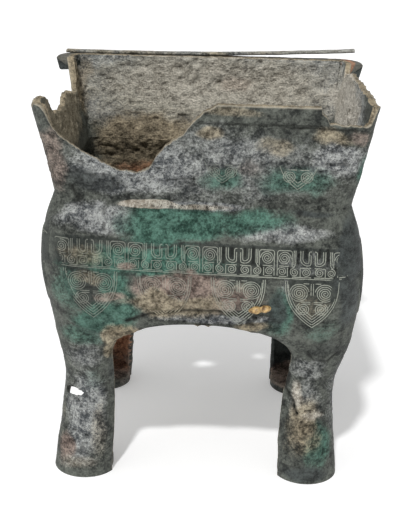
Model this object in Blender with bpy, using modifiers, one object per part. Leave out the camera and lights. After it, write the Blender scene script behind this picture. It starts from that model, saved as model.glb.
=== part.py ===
"""Square bronze ding: a flaring neck over a bulging belly that runs down into four half-round legs.

The vessel is one casting. It is hollow, open at the top and closed below by a thin floor, and each leg is
a half tube that is open towards the middle. The rim is broken away at the front left and along the left
side, and a thick lip is left along the back and on part of the front. Metres, +Z up, feet on Z = 0.
"""

import math

import bmesh
import bpy
from mathutils import Vector

# Heights above the ground.
RIM_HEIGHT = 0.2437
WAIST_HEIGHT = 0.1845
SHOULDER_DROP = 0.0180  # the shoulder is this far below the waist, wherever the waist is
SHOULDER_HEIGHT = WAIST_HEIGHT - SHOULDER_DROP
BELLY_HEIGHT = 0.1400
HIP_HEIGHT = 0.0980
ANKLE_HEIGHT = 0.0620

# Outer half widths, from left to right, at those heights.
RIM_HALF_WIDTH = 0.0990
WAIST_HALF_WIDTH = 0.0883
SHOULDER_HALF_WIDTH = 0.0936
BELLY_HALF_WIDTH = 0.0966
HIP_HALF_WIDTH = 0.0919
ANKLE_HALF_WIDTH = 0.0853
FOOT_HALF_WIDTH = 0.0907

# The plan is a little shallower than it is wide, by this much on the front and on the back.
PLAN_SHORTFALL = 0.0098

# Radius of the vertical corners.
RIM_CORNER_RADIUS = 0.0110
WAIST_CORNER_RADIUS = 0.0120
BELLY_CORNER_RADIUS = 0.0240

# How far the middle of each side bows out at the belly.
BELLY_BOW = 0.0020

# The cast walls.
WALL = 0.0030
FLOOR_THICKNESS = 0.0032
FLOOR_BAG = 0.0080  # how much lower the floor lies over the legs

# The arch between two legs, and the round of a leg.
ARCH_APEX_HEIGHT = 0.1100
FLOOR_ABOVE_ARCH = 0.0016
ANKLE_RADIUS = 0.0172
FOOT_RADIUS = 0.0206
LEG_WRAP_DEG = 105.0  # how far a leg's wall runs round each way from its outer corner

# The foot of each leg is closed by a solid sole, which is higher on its outer side.
SOLE_HEIGHT = 0.0090
SOLE_SLOPE = 0.1200
SOLE_SETBACK = 0.1200  # how much the sole is drawn in on its open side
SOLE_STEPS = 18

# The casting has settled: its right side hangs lower, the hips lean to the right, and the left feet splay.
RIGHT_SAG = 0.0026
HIP_LEAN = 0.0021
HIP_LEAN_REACH = 0.0330
LEFT_FOOT_SPLAY = 0.0022
LEFT_SPLAY_FROM = 0.0800

# The lip, a band that stands out from the rim.
LIP_HEIGHT = 0.0098
BACK_LIP_OVERHANG = 0.0085
FRONT_LIP_OVERHANG = 0.0010
LIP_SWELL = 0.0034  # how far the lip thickens the wall inwards
LIP_SWELL_REACH = 0.0185  # how far below the rim that starts
LIP_RETURN = 0.0030  # how far each lip runs along the sides, past its corners
LIP_STRIP_THICKNESS = 0.0019
LIP_STRIP_DEPTH = 0.0075
LIP_STRIP_HALF_LENGTH = 0.1030
LIP_STRIP_RISE = 0.0052  # the free right end of the split lip stands up this much
LIP_STRIP_FREE_FROM = 0.0550  # the strip has come away from the lip beyond this

# Cast ornament: a band of dragons round the belly, and shield-shaped blades that hang from it.
BAND_TOP_HEIGHT = 0.1620
BAND_BOTTOM_HEIGHT = 0.1440
BAND_RELIEF = 0.0006
BAND_EDGE = 0.0008
BLADE_COUNT = 4
BLADE_PITCH = 0.0436
BLADE_WIDTH = 0.0325
BLADE_LENGTH = 0.0320
BLADE_DROP = 0.0007  # the groove between the band and the blades
BLADE_RELIEF = 0.0007
BLADE_POWER = 2.6

# The hole through the front left leg.
LEG_HOLE_X = -0.0768
LEG_HOLE_HEIGHT = 0.0588
LEG_HOLE_LENGTH = 0.0098
LEG_HOLE_WIDTH = 0.0044
LEG_HOLE_TILT_DEG = -26.0

# Corroded holes through the floor: middle X, middle Y, length, width and turn.
FLOOR_HOLES = (
    (-0.0180, 0.0120, 0.0170, 0.0110, 12.0),
    (-0.0240, -0.0230, 0.0110, 0.0080, -30.0),
    (0.0260, 0.0300, 0.0090, 0.0070, 50.0),
)

# A golden brown lump stuck to the front of the belly.
LUMP_X = 0.0344
LUMP_HEIGHT = 0.1235
LUMP_LENGTH = 0.0136
LUMP_WIDTH = 0.0052
LUMP_DEPTH = 0.0036
LUMP_TILT_DEG = -6.0
LUMP_GAP = 0.0003

# Mesh fineness.
FACE_STEPS = 5
CORNER_STEPS = 4
ARCH_STEPS = 7
BLADE_ROWS = 5
BLADE_COLUMNS = 4
FLOOR_RINGS = 4

# A cutter passes this far beyond what it cuts, and corners closer than the cleanup are joined after it.
CUTTER_MARGIN = 0.0120
SEAM_CLEANUP = 0.00001

# The frame's origin is midway between the back lip and the lump on the front, which stands out past the lip.
LUMP_PAST_LIP = 0.0020
BODY_MIDDLE_Y = -(BACK_LIP_OVERHANG - FRONT_LIP_OVERHANG - LUMP_PAST_LIP) / 2

# Where the front wall is broken: X, and how far the edge lies below the rim.
FRONT_BREAK = (
    (-0.0960, -0.0060),
    (-0.0930, 0.0025),
    (-0.0900, 0.0065),
    (-0.0868, 0.0145),
    (-0.0819, 0.0212),
    (-0.0702, 0.0298),
    (-0.0591, 0.0365),
    (-0.0495, 0.0410),
    (-0.0382, 0.0424),
    (-0.0315, 0.0404),
    (-0.0279, 0.0338),
    (-0.0242, 0.0284),
    (-0.0191, 0.0230),
    (-0.0118, 0.0183),
    (-0.0068, 0.0113),
    (-0.0003, 0.0043),
    (0.0060, 0.0014),
    (0.0140, -0.0060),
)
RIGHT_FRONT_BREAK = (
    (0.0648, -0.0060),
    (0.0656, 0.0030),
    (0.0690, 0.0064),
    (0.0704, 0.0090),
    (0.0810, 0.0097),
    (0.0925, 0.0102),
    (0.0948, 0.0085),
    (0.0965, 0.0030),
    (0.0990, -0.0060),
)

# Where the left and right walls are broken: Y from the middle of the body, and depth below the rim.
LEFT_BREAK = (
    (-0.1040, 0.0040),
    (-0.0850, 0.0030),
    (-0.0700, 0.0024),
    (-0.0560, 0.0036),
    (-0.0515, 0.0060),
    (-0.0460, 0.0092),
    (-0.0405, 0.0150),
    (-0.0326, 0.0190),
    (-0.0200, 0.0198),
    (0.0040, 0.0221),
    (0.0105, 0.0175),
    (0.0165, 0.0159),
    (0.0300, 0.0170),
    (0.0440, 0.0206),
    (0.0560, 0.0222),
    (0.0625, 0.0140),
    (0.0650, 0.0000),
    (0.0655, -0.0060),
)
RIGHT_BREAK = (
    (-0.0800, -0.0060),
    (-0.0760, 0.0006),
    (-0.0600, 0.0010),
    (-0.0450, 0.0002),
    (-0.0250, 0.0012),
    (-0.0050, 0.0007),
    (0.0150, 0.0018),
    (0.0380, 0.0020),
    (0.0560, 0.0046),
    (0.0640, 0.0080),
    (0.0700, 0.0030),
    (0.0716, -0.0060),
)

PATINA_GREEN = (0.115, 0.150, 0.135, 1.0)
GOLDEN_BROWN = (0.480, 0.270, 0.090, 1.0)


def clear_scene():
    """Removes every object, so the script gives the same result each run."""
    for obj in list(bpy.data.objects):
        bpy.data.objects.remove(obj)


def new_collection(name):
    """A collection of that name, linked to the scene."""
    made = bpy.data.collections.new(name)
    bpy.context.scene.collection.children.link(made)
    return made


def new_material(name, colour, metallic, roughness):
    """A plain Principled material."""
    material = bpy.data.materials.new(name)
    material.use_nodes = True
    shader = material.node_tree.nodes["Principled BSDF"]
    shader.inputs["Base Color"].default_value = colour
    shader.inputs["Metallic"].default_value = metallic
    shader.inputs["Roughness"].default_value = roughness
    return material


def smooth_through(stations, at):
    """A curve through (place, value) stations that keeps between them, read at one place."""
    places = [place for place, _ in stations]
    values = [value for _, value in stations]
    last = len(stations) - 1
    at = min(max(at, places[0]), places[last])
    slopes = [(values[i + 1] - values[i]) / (places[i + 1] - places[i]) for i in range(last)]
    tangents = [slopes[0]]
    for i in range(1, last):
        steady = slopes[i - 1] * slopes[i] > 0
        tangents.append(2 * slopes[i - 1] * slopes[i] / (slopes[i - 1] + slopes[i]) if steady else 0.0)
    tangents.append(slopes[-1])
    i = max(k for k in range(last) if places[k] <= at)
    width = places[i + 1] - places[i]
    t = (at - places[i]) / width
    return (
        (2 * t**3 - 3 * t**2 + 1) * values[i]
        + (t**3 - 2 * t**2 + t) * width * tangents[i]
        + (3 * t**2 - 2 * t**3) * values[i + 1]
        + (t**3 - t**2) * width * tangents[i + 1]
    )


def half_width_at(height):
    """Outer half width of the body: a straight flaring neck over a curved belly and legs."""
    if height >= WAIST_HEIGHT:
        flare = (RIM_HALF_WIDTH - WAIST_HALF_WIDTH) / (RIM_HEIGHT - WAIST_HEIGHT)
        return WAIST_HALF_WIDTH + flare * (height - WAIST_HEIGHT)
    stations = (
        (0.0, FOOT_HALF_WIDTH),
        (ANKLE_HEIGHT, ANKLE_HALF_WIDTH),
        (HIP_HEIGHT, HIP_HALF_WIDTH),
        (BELLY_HEIGHT, BELLY_HALF_WIDTH),
        (SHOULDER_HEIGHT, SHOULDER_HALF_WIDTH),
        (WAIST_HEIGHT, WAIST_HALF_WIDTH),
    )
    return smooth_through(stations, height)


def half_depth_at(height):
    """Outer half depth of the body, from front to back."""
    return half_width_at(height) - PLAN_SHORTFALL


def corner_radius_at(height):
    """Radius of the vertical corners."""
    stations = (
        (ANKLE_HEIGHT, ANKLE_RADIUS),
        (BELLY_HEIGHT, BELLY_CORNER_RADIUS),
        (WAIST_HEIGHT, WAIST_CORNER_RADIUS),
        (RIM_HEIGHT, RIM_CORNER_RADIUS),
    )
    return smooth_through(stations, height)


def bow_at(height):
    """How far the middle of a side bows out: full at the belly, none at the waist and the ankle."""
    reach = BELLY_HEIGHT - ANKLE_HEIGHT if height < BELLY_HEIGHT else WAIST_HEIGHT - BELLY_HEIGHT
    return BELLY_BOW * max(0.0, 1 - ((height - BELLY_HEIGHT) / reach) ** 2)


def settle(x, y, height):
    """Moves a point of the true, even shape to where it lies in the settled casting."""
    span = RIM_HEIGHT - ANKLE_HEIGHT
    share = min(max((height - ANKLE_HEIGHT) / span, 0.0), 1.0)
    sag = RIGHT_SAG * math.sin(math.pi * share) * x / BELLY_HALF_WIDTH
    lean = HIP_LEAN * math.exp(-(((height - HIP_HEIGHT) / HIP_LEAN_REACH) ** 2))
    splay = LEFT_FOOT_SPLAY * min(max(1 - height / LEFT_SPLAY_FROM, 0.0), 1.0) if x < 0 else 0.0
    return Vector((x + lean - splay, y + BODY_MIDDLE_Y, height - sag))


def outline_reach(across, half_across, half_out, radius, bow):
    """How far out the outline lies at a distance across one side, round the corner included."""
    past = abs(across) - (half_across - radius)
    out = half_out + bow * max(0.0, 1 - (across / half_across) ** 2)
    if past <= 0:
        return out
    return out - radius + math.sqrt(max(radius**2 - min(past, radius) ** 2, 0.0))


def quarter_outline(height, start_x, start_y, grow=0.0):
    """Points along one quarter of the outline, from start_x on the front to start_y on the side."""
    a = half_width_at(height) + grow
    b = half_depth_at(height) + grow
    r = corner_radius_at(height) + grow
    bow = bow_at(height)
    points = []
    for i in range(FACE_STEPS):
        x = start_x + (a - r - start_x) * i / FACE_STEPS
        points.append((x, outline_reach(x, a, b, r, bow)))
    for i in range(CORNER_STEPS + 1):
        turn = math.pi / 2 * i / CORNER_STEPS
        x = a - r + r * math.sin(turn)
        y = b - r + r * math.cos(turn)
        extra = bow * max(0.0, 1 - ((a - r) / a) ** 2)
        points.append((x + extra * math.sin(turn), y + extra * math.cos(turn)))
    for i in range(FACE_STEPS - 1, -1, -1):
        y = start_y + (b - r - start_y) * i / FACE_STEPS
        points.append((outline_reach(y, b, a, r, bow), y))
    return points


def leg_radius_at(height):
    """Outer radius of a leg, which widens towards the foot."""
    share = min(max(height / ANKLE_HEIGHT, 0.0), 1.0)
    return FOOT_RADIUS + (ANKLE_RADIUS - FOOT_RADIUS) * share


def leg_arc(height):
    """Points round a leg's outer face, from its edge by the front arch to its edge by the side arch."""
    radius = leg_radius_at(height)
    middle_x = half_width_at(height) - radius
    middle_y = half_depth_at(height) - radius
    count = 2 * FACE_STEPS + CORNER_STEPS
    points = []
    for i in range(count + 1):
        turn = math.radians(45 + LEG_WRAP_DEG - 2 * LEG_WRAP_DEG * i / count)
        points.append((middle_x + radius * math.cos(turn), middle_y + radius * math.sin(turn)))
    return points


def body_rows():
    """Heights of the mesh rows above the arches, with the band's four rows among them."""
    neck = [RIM_HEIGHT + (WAIST_HEIGHT - RIM_HEIGHT) * i / 3 for i in range(4)]
    shoulder = [(WAIST_HEIGHT + SHOULDER_HEIGHT) / 2, SHOULDER_HEIGHT]
    band = [BAND_TOP_HEIGHT, BAND_TOP_HEIGHT - BAND_EDGE, BAND_BOTTOM_HEIGHT + BAND_EDGE, BAND_BOTTOM_HEIGHT]
    middle = (BAND_TOP_HEIGHT + BAND_BOTTOM_HEIGHT) / 2
    lower = [BAND_BOTTOM_HEIGHT + (ARCH_APEX_HEIGHT - BAND_BOTTOM_HEIGHT) * i / 3 for i in range(1, 4)]
    return sorted(set(neck + shoulder + band + [middle] + lower), reverse=True)


def arch_edge(share, half_span):
    """A point of the arch's curve: how far from its middle, and how high."""
    turn = share * math.pi / 2
    x = half_span * math.sin(turn) ** 0.78
    height = ANKLE_HEIGHT + (ARCH_APEX_HEIGHT - ANKLE_HEIGHT) * math.cos(turn) ** 0.95
    return x, height


def quarter_rows():
    """Rows of points of one quarter of the outer face, from the rim down to below the ground."""
    rows = []
    for height in body_rows():
        rows.append([(x, y, height) for x, y in quarter_outline(height, 0.0, 0.0)])
    columns = 2 * FACE_STEPS + CORNER_STEPS
    reach = leg_radius_at(ANKLE_HEIGHT) * (1 - math.cos(math.radians(45 + LEG_WRAP_DEG)))
    front_span = half_width_at(ANKLE_HEIGHT) - reach
    side_span = half_depth_at(ANKLE_HEIGHT) - reach
    for step in range(1, ARCH_STEPS + 1):
        share = step / ARCH_STEPS
        blend = share * share * (3 - 2 * share)
        front_x, edge_height = arch_edge(share, front_span)
        side_y = arch_edge(share, side_span)[0]
        corner_height = ARCH_APEX_HEIGHT + (ANKLE_HEIGHT - ARCH_APEX_HEIGHT) * share
        row = []
        for i in range(columns + 1):
            side = abs(2 * i / columns - 1) ** 1.5
            height = corner_height + (edge_height - corner_height) * side
            flat = quarter_outline(height, front_x, side_y)[i]
            curl = leg_arc(height)[i]
            x = flat[0] + (curl[0] - flat[0]) * blend
            y = flat[1] + (curl[1] - flat[1]) * blend
            row.append((x, y, height))
        rows.append(row)
    for height in (ANKLE_HEIGHT / 2, ANKLE_HEIGHT / 6, -CUTTER_MARGIN):
        rows.append([(x, y, height) for x, y in leg_arc(height)])
    return rows


def add_object(name, mesh, collection):
    """A new object of a mesh, in a collection."""
    obj = bpy.data.objects.new(name, mesh)
    collection.objects.link(obj)
    return obj


def mesh_from_rows(name, rows, close_rows=False, cap_ends=False):
    """A mesh of quads lofted between rows of points."""
    mesh = bpy.data.meshes.new(name)
    bm = bmesh.new()
    verts = [[bm.verts.new(point) for point in row] for row in rows]
    count = len(rows[0])
    steps = count if close_rows else count - 1
    for upper, lower in zip(verts, verts[1:]):
        for i in range(steps):
            k = (i + 1) % count
            bm.faces.new((upper[i], upper[k], lower[k], lower[i]))
    if cap_ends:
        bm.faces.new(list(reversed(verts[0])))
        bm.faces.new(verts[-1])
    bmesh.ops.recalc_face_normals(bm, faces=bm.faces)
    bm.to_mesh(mesh)
    bm.free()
    return mesh


def applied(obj):
    """The object's mesh with its modifiers applied, in place of the old one."""
    bpy.context.view_layer.update()
    depsgraph = bpy.context.evaluated_depsgraph_get()
    mesh = bpy.data.meshes.new_from_object(obj.evaluated_get(depsgraph))
    obj.modifiers.clear()
    obj.data = mesh
    return obj


def join_or_cut(obj, other, operation):
    """Joins another solid to an object, or cuts it away, with an exact Boolean."""
    modifier = obj.modifiers.new(other.name, "BOOLEAN")
    modifier.operation = operation
    modifier.solver = "EXACT"
    modifier.object = other
    applied(obj)
    bm = bmesh.new()
    bm.from_mesh(obj.data)
    bmesh.ops.remove_doubles(bm, verts=bm.verts, dist=SEAM_CLEANUP)
    bm.to_mesh(obj.data)
    bm.free()


def build_shell(collection):
    """The body's wall: a quarter of the outer face, mirrored twice, settled and thickened inwards."""
    shell = add_object("vessel", mesh_from_rows("vessel", quarter_rows()), collection)
    mirror = shell.modifiers.new("mirror", "MIRROR")
    mirror.use_axis = (True, True, False)
    mirror.merge_threshold = 0.00005
    applied(shell)
    bm = bmesh.new()
    bm.from_mesh(shell.data)
    bmesh.ops.recalc_face_normals(bm, faces=bm.faces)
    outward = sum(face.normal.dot(face.calc_center_median()) for face in bm.faces)
    if outward < 0:
        bmesh.ops.reverse_faces(bm, faces=bm.faces)
    for vert in bm.verts:
        vert.co = settle(*vert.co)
    bm.to_mesh(shell.data)
    outer_count = len(bm.verts)
    bm.free()
    solidify = shell.modifiers.new("wall", "SOLIDIFY")
    solidify.thickness = WALL
    solidify.offset = -1.0
    solidify.use_even_offset = True
    applied(shell)
    raise_band(shell.data, outer_count)
    return shell


def raise_band(mesh, outer_count):
    """Lifts the outer face between the band's two edges, so the band stands proud of the belly."""
    top = BAND_TOP_HEIGHT - BAND_EDGE / 2
    bottom = BAND_BOTTOM_HEIGHT + BAND_EDGE / 2
    for vert in list(mesh.vertices)[:outer_count]:
        lift = settle(vert.co.x, 0.0, BELLY_HEIGHT).z - BELLY_HEIGHT
        if bottom < vert.co.z - lift < top:
            vert.co += vert.normal * BAND_RELIEF


def build_floor(collection):
    """The floor of the bowl: rings of the body's outline, drawn in to the middle and lower over the legs."""
    level = ARCH_APEX_HEIGHT + FLOOR_ABOVE_ARCH
    bm = bmesh.new()
    quarter = quarter_outline(level, 0.0, 0.0, -WALL / 2)
    ring = quarter[:-1]
    ring += [(x, -y) for x, y in reversed(quarter)][:-1]
    ring += [(-x, -y) for x, y in quarter][:-1]
    ring += [(-x, y) for x, y in reversed(quarter)][:-1]
    a, b = half_width_at(level), half_depth_at(level)
    rings = []
    for k in range(1, FLOOR_RINGS + 1):
        share = k / FLOOR_RINGS
        row = []
        for x, y in ring:
            drop = FLOOR_BAG * (x * share / a) ** 2 * (y * share / b) ** 2
            shrink = (half_width_at(level - drop) - half_width_at(level)) * share
            x_here = x * share + math.copysign(shrink, x) * (abs(x) / a) ** 4
            y_here = y * share + math.copysign(shrink, y) * (abs(y) / b) ** 4
            row.append(bm.verts.new(settle(x_here, y_here, level - drop)))
        rings.append(row)
    middle = bm.verts.new(settle(0.0, 0.0, level))
    count = len(ring)
    for i in range(count):
        bm.faces.new((middle, rings[0][i], rings[0][(i + 1) % count]))
    for inner, outer in zip(rings, rings[1:]):
        for i in range(count):
            k = (i + 1) % count
            bm.faces.new((inner[i], outer[i], outer[k], inner[k]))
    bmesh.ops.recalc_face_normals(bm, faces=bm.faces)
    if bm.faces[0].normal.z < 0:
        bmesh.ops.reverse_faces(bm, faces=bm.faces)
    mesh = bpy.data.meshes.new("floor")
    bm.to_mesh(mesh)
    bm.free()
    floor = add_object("floor", mesh, collection)
    solidify = floor.modifiers.new("floor", "SOLIDIFY")
    solidify.thickness = FLOOR_THICKNESS
    solidify.offset = 1.0
    return applied(floor)


def build_lip(name, facing, overhang, collection):
    """A lip along the back or the front: a band outside the wall, with its inner part in the wall."""
    low = RIM_HEIGHT - LIP_HEIGHT
    lowest = RIM_HEIGHT - LIP_SWELL_REACH
    side_y = min(half_depth_at(z) - corner_radius_at(z) for z in (lowest, low, RIM_HEIGHT)) - LIP_RETURN
    rows = []
    corners = (
        (RIM_HEIGHT - LIP_SWELL_REACH, -WALL / 2),
        (low, -WALL / 2),
        (low, overhang - WALL / 4),
        (RIM_HEIGHT, overhang),
        (RIM_HEIGHT, -WALL - LIP_SWELL),
    )
    lines = [quarter_outline(height, 0.0, side_y, grow) for height, grow in corners]
    count = len(lines[0])
    for i in range(count):
        rows.append([(line[i][0], line[i][1], height) for line, (height, _) in zip(lines, corners)])
    path = [[(-x, y, z) for x, y, z in row] for row in reversed(rows[1:])] + rows
    settled = [[settle(x, facing * y, z) for x, y, z in row] for row in path]
    return add_object(name, mesh_from_rows(name, settled, close_rows=True, cap_ends=True), collection)


def build_sole(side_x, side_y, collection):
    """The solid sole of one leg: a disc inside the leg's wall, cut level with the ground later."""
    rows = []
    for height, tilt in ((-CUTTER_MARGIN / 2, 0.0), (SOLE_HEIGHT, SOLE_SLOPE)):
        radius = leg_radius_at(height) - WALL / 2
        middle_x = half_width_at(height) - leg_radius_at(height)
        middle_y = half_depth_at(height) - leg_radius_at(height)
        row = []
        for i in range(SOLE_STEPS):
            turn = 2 * math.pi * (i + 0.5) / SOLE_STEPS
            inward = max(0.0, -(math.cos(turn) + math.sin(turn)) / math.sqrt(2))
            u = radius * math.cos(turn) * (1 - SOLE_SETBACK * inward)
            v = radius * math.sin(turn) * (1 - SOLE_SETBACK * inward)
            row.append(settle(side_x * (middle_x + u), side_y * (middle_y + v), height + tilt * (u + v)))
        rows.append(row)
    return add_object("sole", mesh_from_rows("sole", rows, close_rows=True, cap_ends=True), collection)


def build_lip_strip(collection):
    """The split top of the back lip: a thin strip on the lip whose right end stands free."""
    outer_y = half_depth_at(RIM_HEIGHT) + BACK_LIP_OVERHANG
    stations = 9
    rows = []
    for i in range(stations):
        share = i / (stations - 1)
        x = -LIP_STRIP_HALF_LENGTH + 2 * LIP_STRIP_HALF_LENGTH * share
        lift = LIP_STRIP_RISE * max(0.0, (x + LIP_STRIP_HALF_LENGTH / 2) / (1.5 * LIP_STRIP_HALF_LENGTH)) ** 2
        base = RIM_HEIGHT + lift
        if x < LIP_STRIP_FREE_FROM:
            base = RIM_HEIGHT - LIP_STRIP_THICKNESS / 2
        top = RIM_HEIGHT + lift + LIP_STRIP_THICKNESS
        inner_y = outer_y - LIP_STRIP_DEPTH
        section = ((inner_y, base), (outer_y - WALL / 4, base), (outer_y - WALL / 4, top), (inner_y, top))
        rows.append([settle(x, y, z) for y, z in section])
    return add_object("lip_strip", mesh_from_rows("lip_strip", rows, True, True), collection)


def side_point(side, across, height, lift):
    """A point on the outer face of side 0 front, 1 right, 2 back or 3 left, lifted off it."""
    along_x = side % 2 == 0
    half_across = half_width_at(height) if along_x else half_depth_at(height)
    half_out = half_depth_at(height) if along_x else half_width_at(height)
    out = outline_reach(across, half_across, half_out, corner_radius_at(height), bow_at(height)) + lift
    turned = {0: (across, -out), 1: (out, across), 2: (-across, out), 3: (-out, -across)}
    return settle(*turned[side], height)


def build_blade(side, middle):
    """Rows of one hanging blade: a shield with a flat top and a pointed foot, as a plate in the wall."""
    rows = []
    for i in range(BLADE_ROWS):
        share = (i / BLADE_ROWS) ** 0.8
        half = BLADE_WIDTH / 2 * (1 - share**BLADE_POWER)
        height = BAND_BOTTOM_HEIGHT - BLADE_DROP - BLADE_LENGTH * share
        front = []
        back = []
        for k in range(BLADE_COLUMNS + 1):
            across = middle + half * (2 * k / BLADE_COLUMNS - 1)
            front.append(side_point(side, across, height, BLADE_RELIEF))
            back.append(side_point(side, across, height, -WALL / 3))
        rows.append(front + list(reversed(back)))
    return rows


def add_blade_to(bm, side, middle):
    """Adds one blade, closed by its pointed foot, to a mesh."""
    rows = [[bm.verts.new(point) for point in row] for row in build_blade(side, middle)]
    tip_height = BAND_BOTTOM_HEIGHT - BLADE_DROP - BLADE_LENGTH
    tip_front = bm.verts.new(side_point(side, middle, tip_height, BLADE_RELIEF))
    tip_back = bm.verts.new(side_point(side, middle, tip_height, -WALL / 3))
    count = len(rows[0])
    for upper, lower in zip(rows, rows[1:]):
        for i in range(count):
            k = (i + 1) % count
            bm.faces.new((upper[i], upper[k], lower[k], lower[i]))
    top = rows[0]
    columns = BLADE_COLUMNS + 1
    for i in range(columns - 1):
        bm.faces.new((top[i + 1], top[i], top[count - 1 - i], top[count - 2 - i]))
    foot = rows[-1]
    for i in range(columns - 1):
        bm.faces.new((foot[i], foot[i + 1], tip_front))
        bm.faces.new((foot[columns + i], foot[columns + i + 1], tip_back))
    bm.faces.new((foot[columns - 1], foot[columns], tip_back, tip_front))
    bm.faces.new((foot[count - 1], foot[0], tip_front, tip_back))


def build_blades(collection):
    """All the hanging blades, the same number on each of the four sides."""
    bm = bmesh.new()
    for side in range(4):
        pitch = BLADE_PITCH if side % 2 == 0 else BLADE_PITCH * half_depth_at(BELLY_HEIGHT) / BELLY_HALF_WIDTH
        for i in range(BLADE_COUNT):
            add_blade_to(bm, side, pitch * (i - (BLADE_COUNT - 1) / 2))
    bmesh.ops.recalc_face_normals(bm, faces=bm.faces)
    mesh = bpy.data.meshes.new("blades")
    bm.to_mesh(mesh)
    bm.free()
    return add_object("blades", mesh, collection)


def prism(name, outline, collection):
    """A closed cutter between two outlines of the same number of points."""
    cutter = add_object(name, mesh_from_rows(name, outline, close_rows=True, cap_ends=True), collection)
    cutter.hide_render = True
    cutter.display_type = "WIRE"
    return cutter


def break_cutter(name, line, near, far, along_x, collection):
    """A cutter for one broken wall: everything above the broken line, from near to far across the wall."""
    top = RIM_HEIGHT + CUTTER_MARGIN
    closed = list(line) + [(line[-1][0], RIM_HEIGHT - top), (line[0][0], RIM_HEIGHT - top)]
    rows = []
    for place in (near, far):
        points = []
        for along, below in closed:
            x, y = (along, place) if along_x else (place, along)
            points.append(Vector((x, y + BODY_MIDDLE_Y, RIM_HEIGHT - below)))
        rows.append(points)
    return prism(name, rows, collection)


def hexagon(length, width, turn_deg):
    """Six points of a ragged hole about its own middle."""
    turn = math.radians(turn_deg)
    shape = ((-0.50, 0.05), (-0.30, 0.50), (0.15, 0.42), (0.50, 0.00), (0.42, -0.40), (-0.20, -0.50))
    points = []
    for u, v in shape:
        x, y = u * length, v * width
        points.append((x * math.cos(turn) - y * math.sin(turn), x * math.sin(turn) + y * math.cos(turn)))
    return points


def build_cutters(collection):
    """Everything that is lost: the broken walls, the holes, and what is below the ground."""
    outer_x = RIM_HALF_WIDTH + CUTTER_MARGIN
    outer_y = half_depth_at(RIM_HEIGHT) + CUTTER_MARGIN
    inner_x = WAIST_HALF_WIDTH - CUTTER_MARGIN
    inner_y = half_depth_at(WAIST_HEIGHT) - CUTTER_MARGIN
    cutters = [
        break_cutter("front_break", FRONT_BREAK, -outer_y, -inner_y, True, collection),
        break_cutter("right_front_break", RIGHT_FRONT_BREAK, -outer_y, -inner_y, True, collection),
        break_cutter("left_break", LEFT_BREAK, -outer_x, -inner_x, False, collection),
        break_cutter("right_break", RIGHT_BREAK, inner_x, outer_x, False, collection),
    ]
    hole = hexagon(LEG_HOLE_LENGTH, LEG_HOLE_WIDTH, LEG_HOLE_TILT_DEG)
    leg_middle = half_depth_at(LEG_HOLE_HEIGHT) - leg_radius_at(LEG_HOLE_HEIGHT)
    rows = []
    for y in (-outer_y, -leg_middle):
        rows.append([(LEG_HOLE_X + u, y + BODY_MIDDLE_Y, LEG_HOLE_HEIGHT + v) for u, v in hole])
    cutters.append(prism("leg_hole", rows, collection))
    for index, (x, y, length, width, turn) in enumerate(FLOOR_HOLES):
        rim = hexagon(length, width, turn)
        low = ARCH_APEX_HEIGHT - CUTTER_MARGIN
        high = ARCH_APEX_HEIGHT + FLOOR_ABOVE_ARCH + FLOOR_THICKNESS + CUTTER_MARGIN
        rows = [[(x + u, y + v, z) for u, v in rim] for z in (low, high)]
        cutters.append(prism(f"floor_hole_{index}", rows, collection))
    ground = ((-outer_x, -outer_y), (outer_x, -outer_y), (outer_x, outer_y), (-outer_x, outer_y))
    rows = [[(x, y, z) for x, y in ground] for z in (-3 * CUTTER_MARGIN, 0.0)]
    cutters.append(prism("below_ground", rows, collection))
    return cutters


def build_lump(collection):
    """The golden brown lump: a flattened ball with a flat back, a small gap off the belly."""
    lift = BLADE_RELIEF + LUMP_GAP
    foot = side_point(0, LUMP_X, LUMP_HEIGHT, lift)
    above = side_point(0, LUMP_X, LUMP_HEIGHT + LUMP_WIDTH / 2, lift)
    below = side_point(0, LUMP_X, LUMP_HEIGHT - LUMP_WIDTH / 2, lift)
    right = side_point(0, LUMP_X + LUMP_LENGTH / 2, LUMP_HEIGHT, lift)
    up = (above - below).normalized()
    out = up.cross(right - foot).normalized()
    if out.y > 0:
        out = -out
    along = out.cross(up).normalized()
    turn = math.radians(LUMP_TILT_DEG)
    bm = bmesh.new()
    bmesh.ops.create_icosphere(bm, subdivisions=2, radius=1.0)
    for vert in bm.verts:
        u, v, w = vert.co
        pinch = 1 - 0.28 * math.cos(5.0 * u + 0.6) * (1 - abs(v)) * 0.5
        s = u * LUMP_LENGTH / 2
        t = v * LUMP_WIDTH / 2 * pinch
        depth = max(w, 0.0) * LUMP_DEPTH * pinch
        slid = along * (s * math.cos(turn) - t * math.sin(turn)) + up * (s * math.sin(turn) + t * math.cos(turn))
        vert.co = foot + slid + out * (depth + LUMP_GAP)
    hidden = [face for face in bm.faces if all((v.co - foot).dot(out) < 1.01 * LUMP_GAP for v in face.verts)]
    bmesh.ops.dissolve_faces(bm, faces=hidden)
    bmesh.ops.recalc_face_normals(bm, faces=bm.faces)
    mesh = bpy.data.meshes.new("stuck_lump")
    bm.to_mesh(mesh)
    bm.free()
    return add_object("stuck_lump", mesh, collection)


def shade_round(obj, material):
    """Smooth shading with the sharp edges kept, and the piece's material."""
    obj.data.shade_smooth()
    obj.data.set_sharp_from_angle(angle=math.radians(40))
    obj.data.materials.clear()
    obj.data.materials.append(material)


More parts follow.
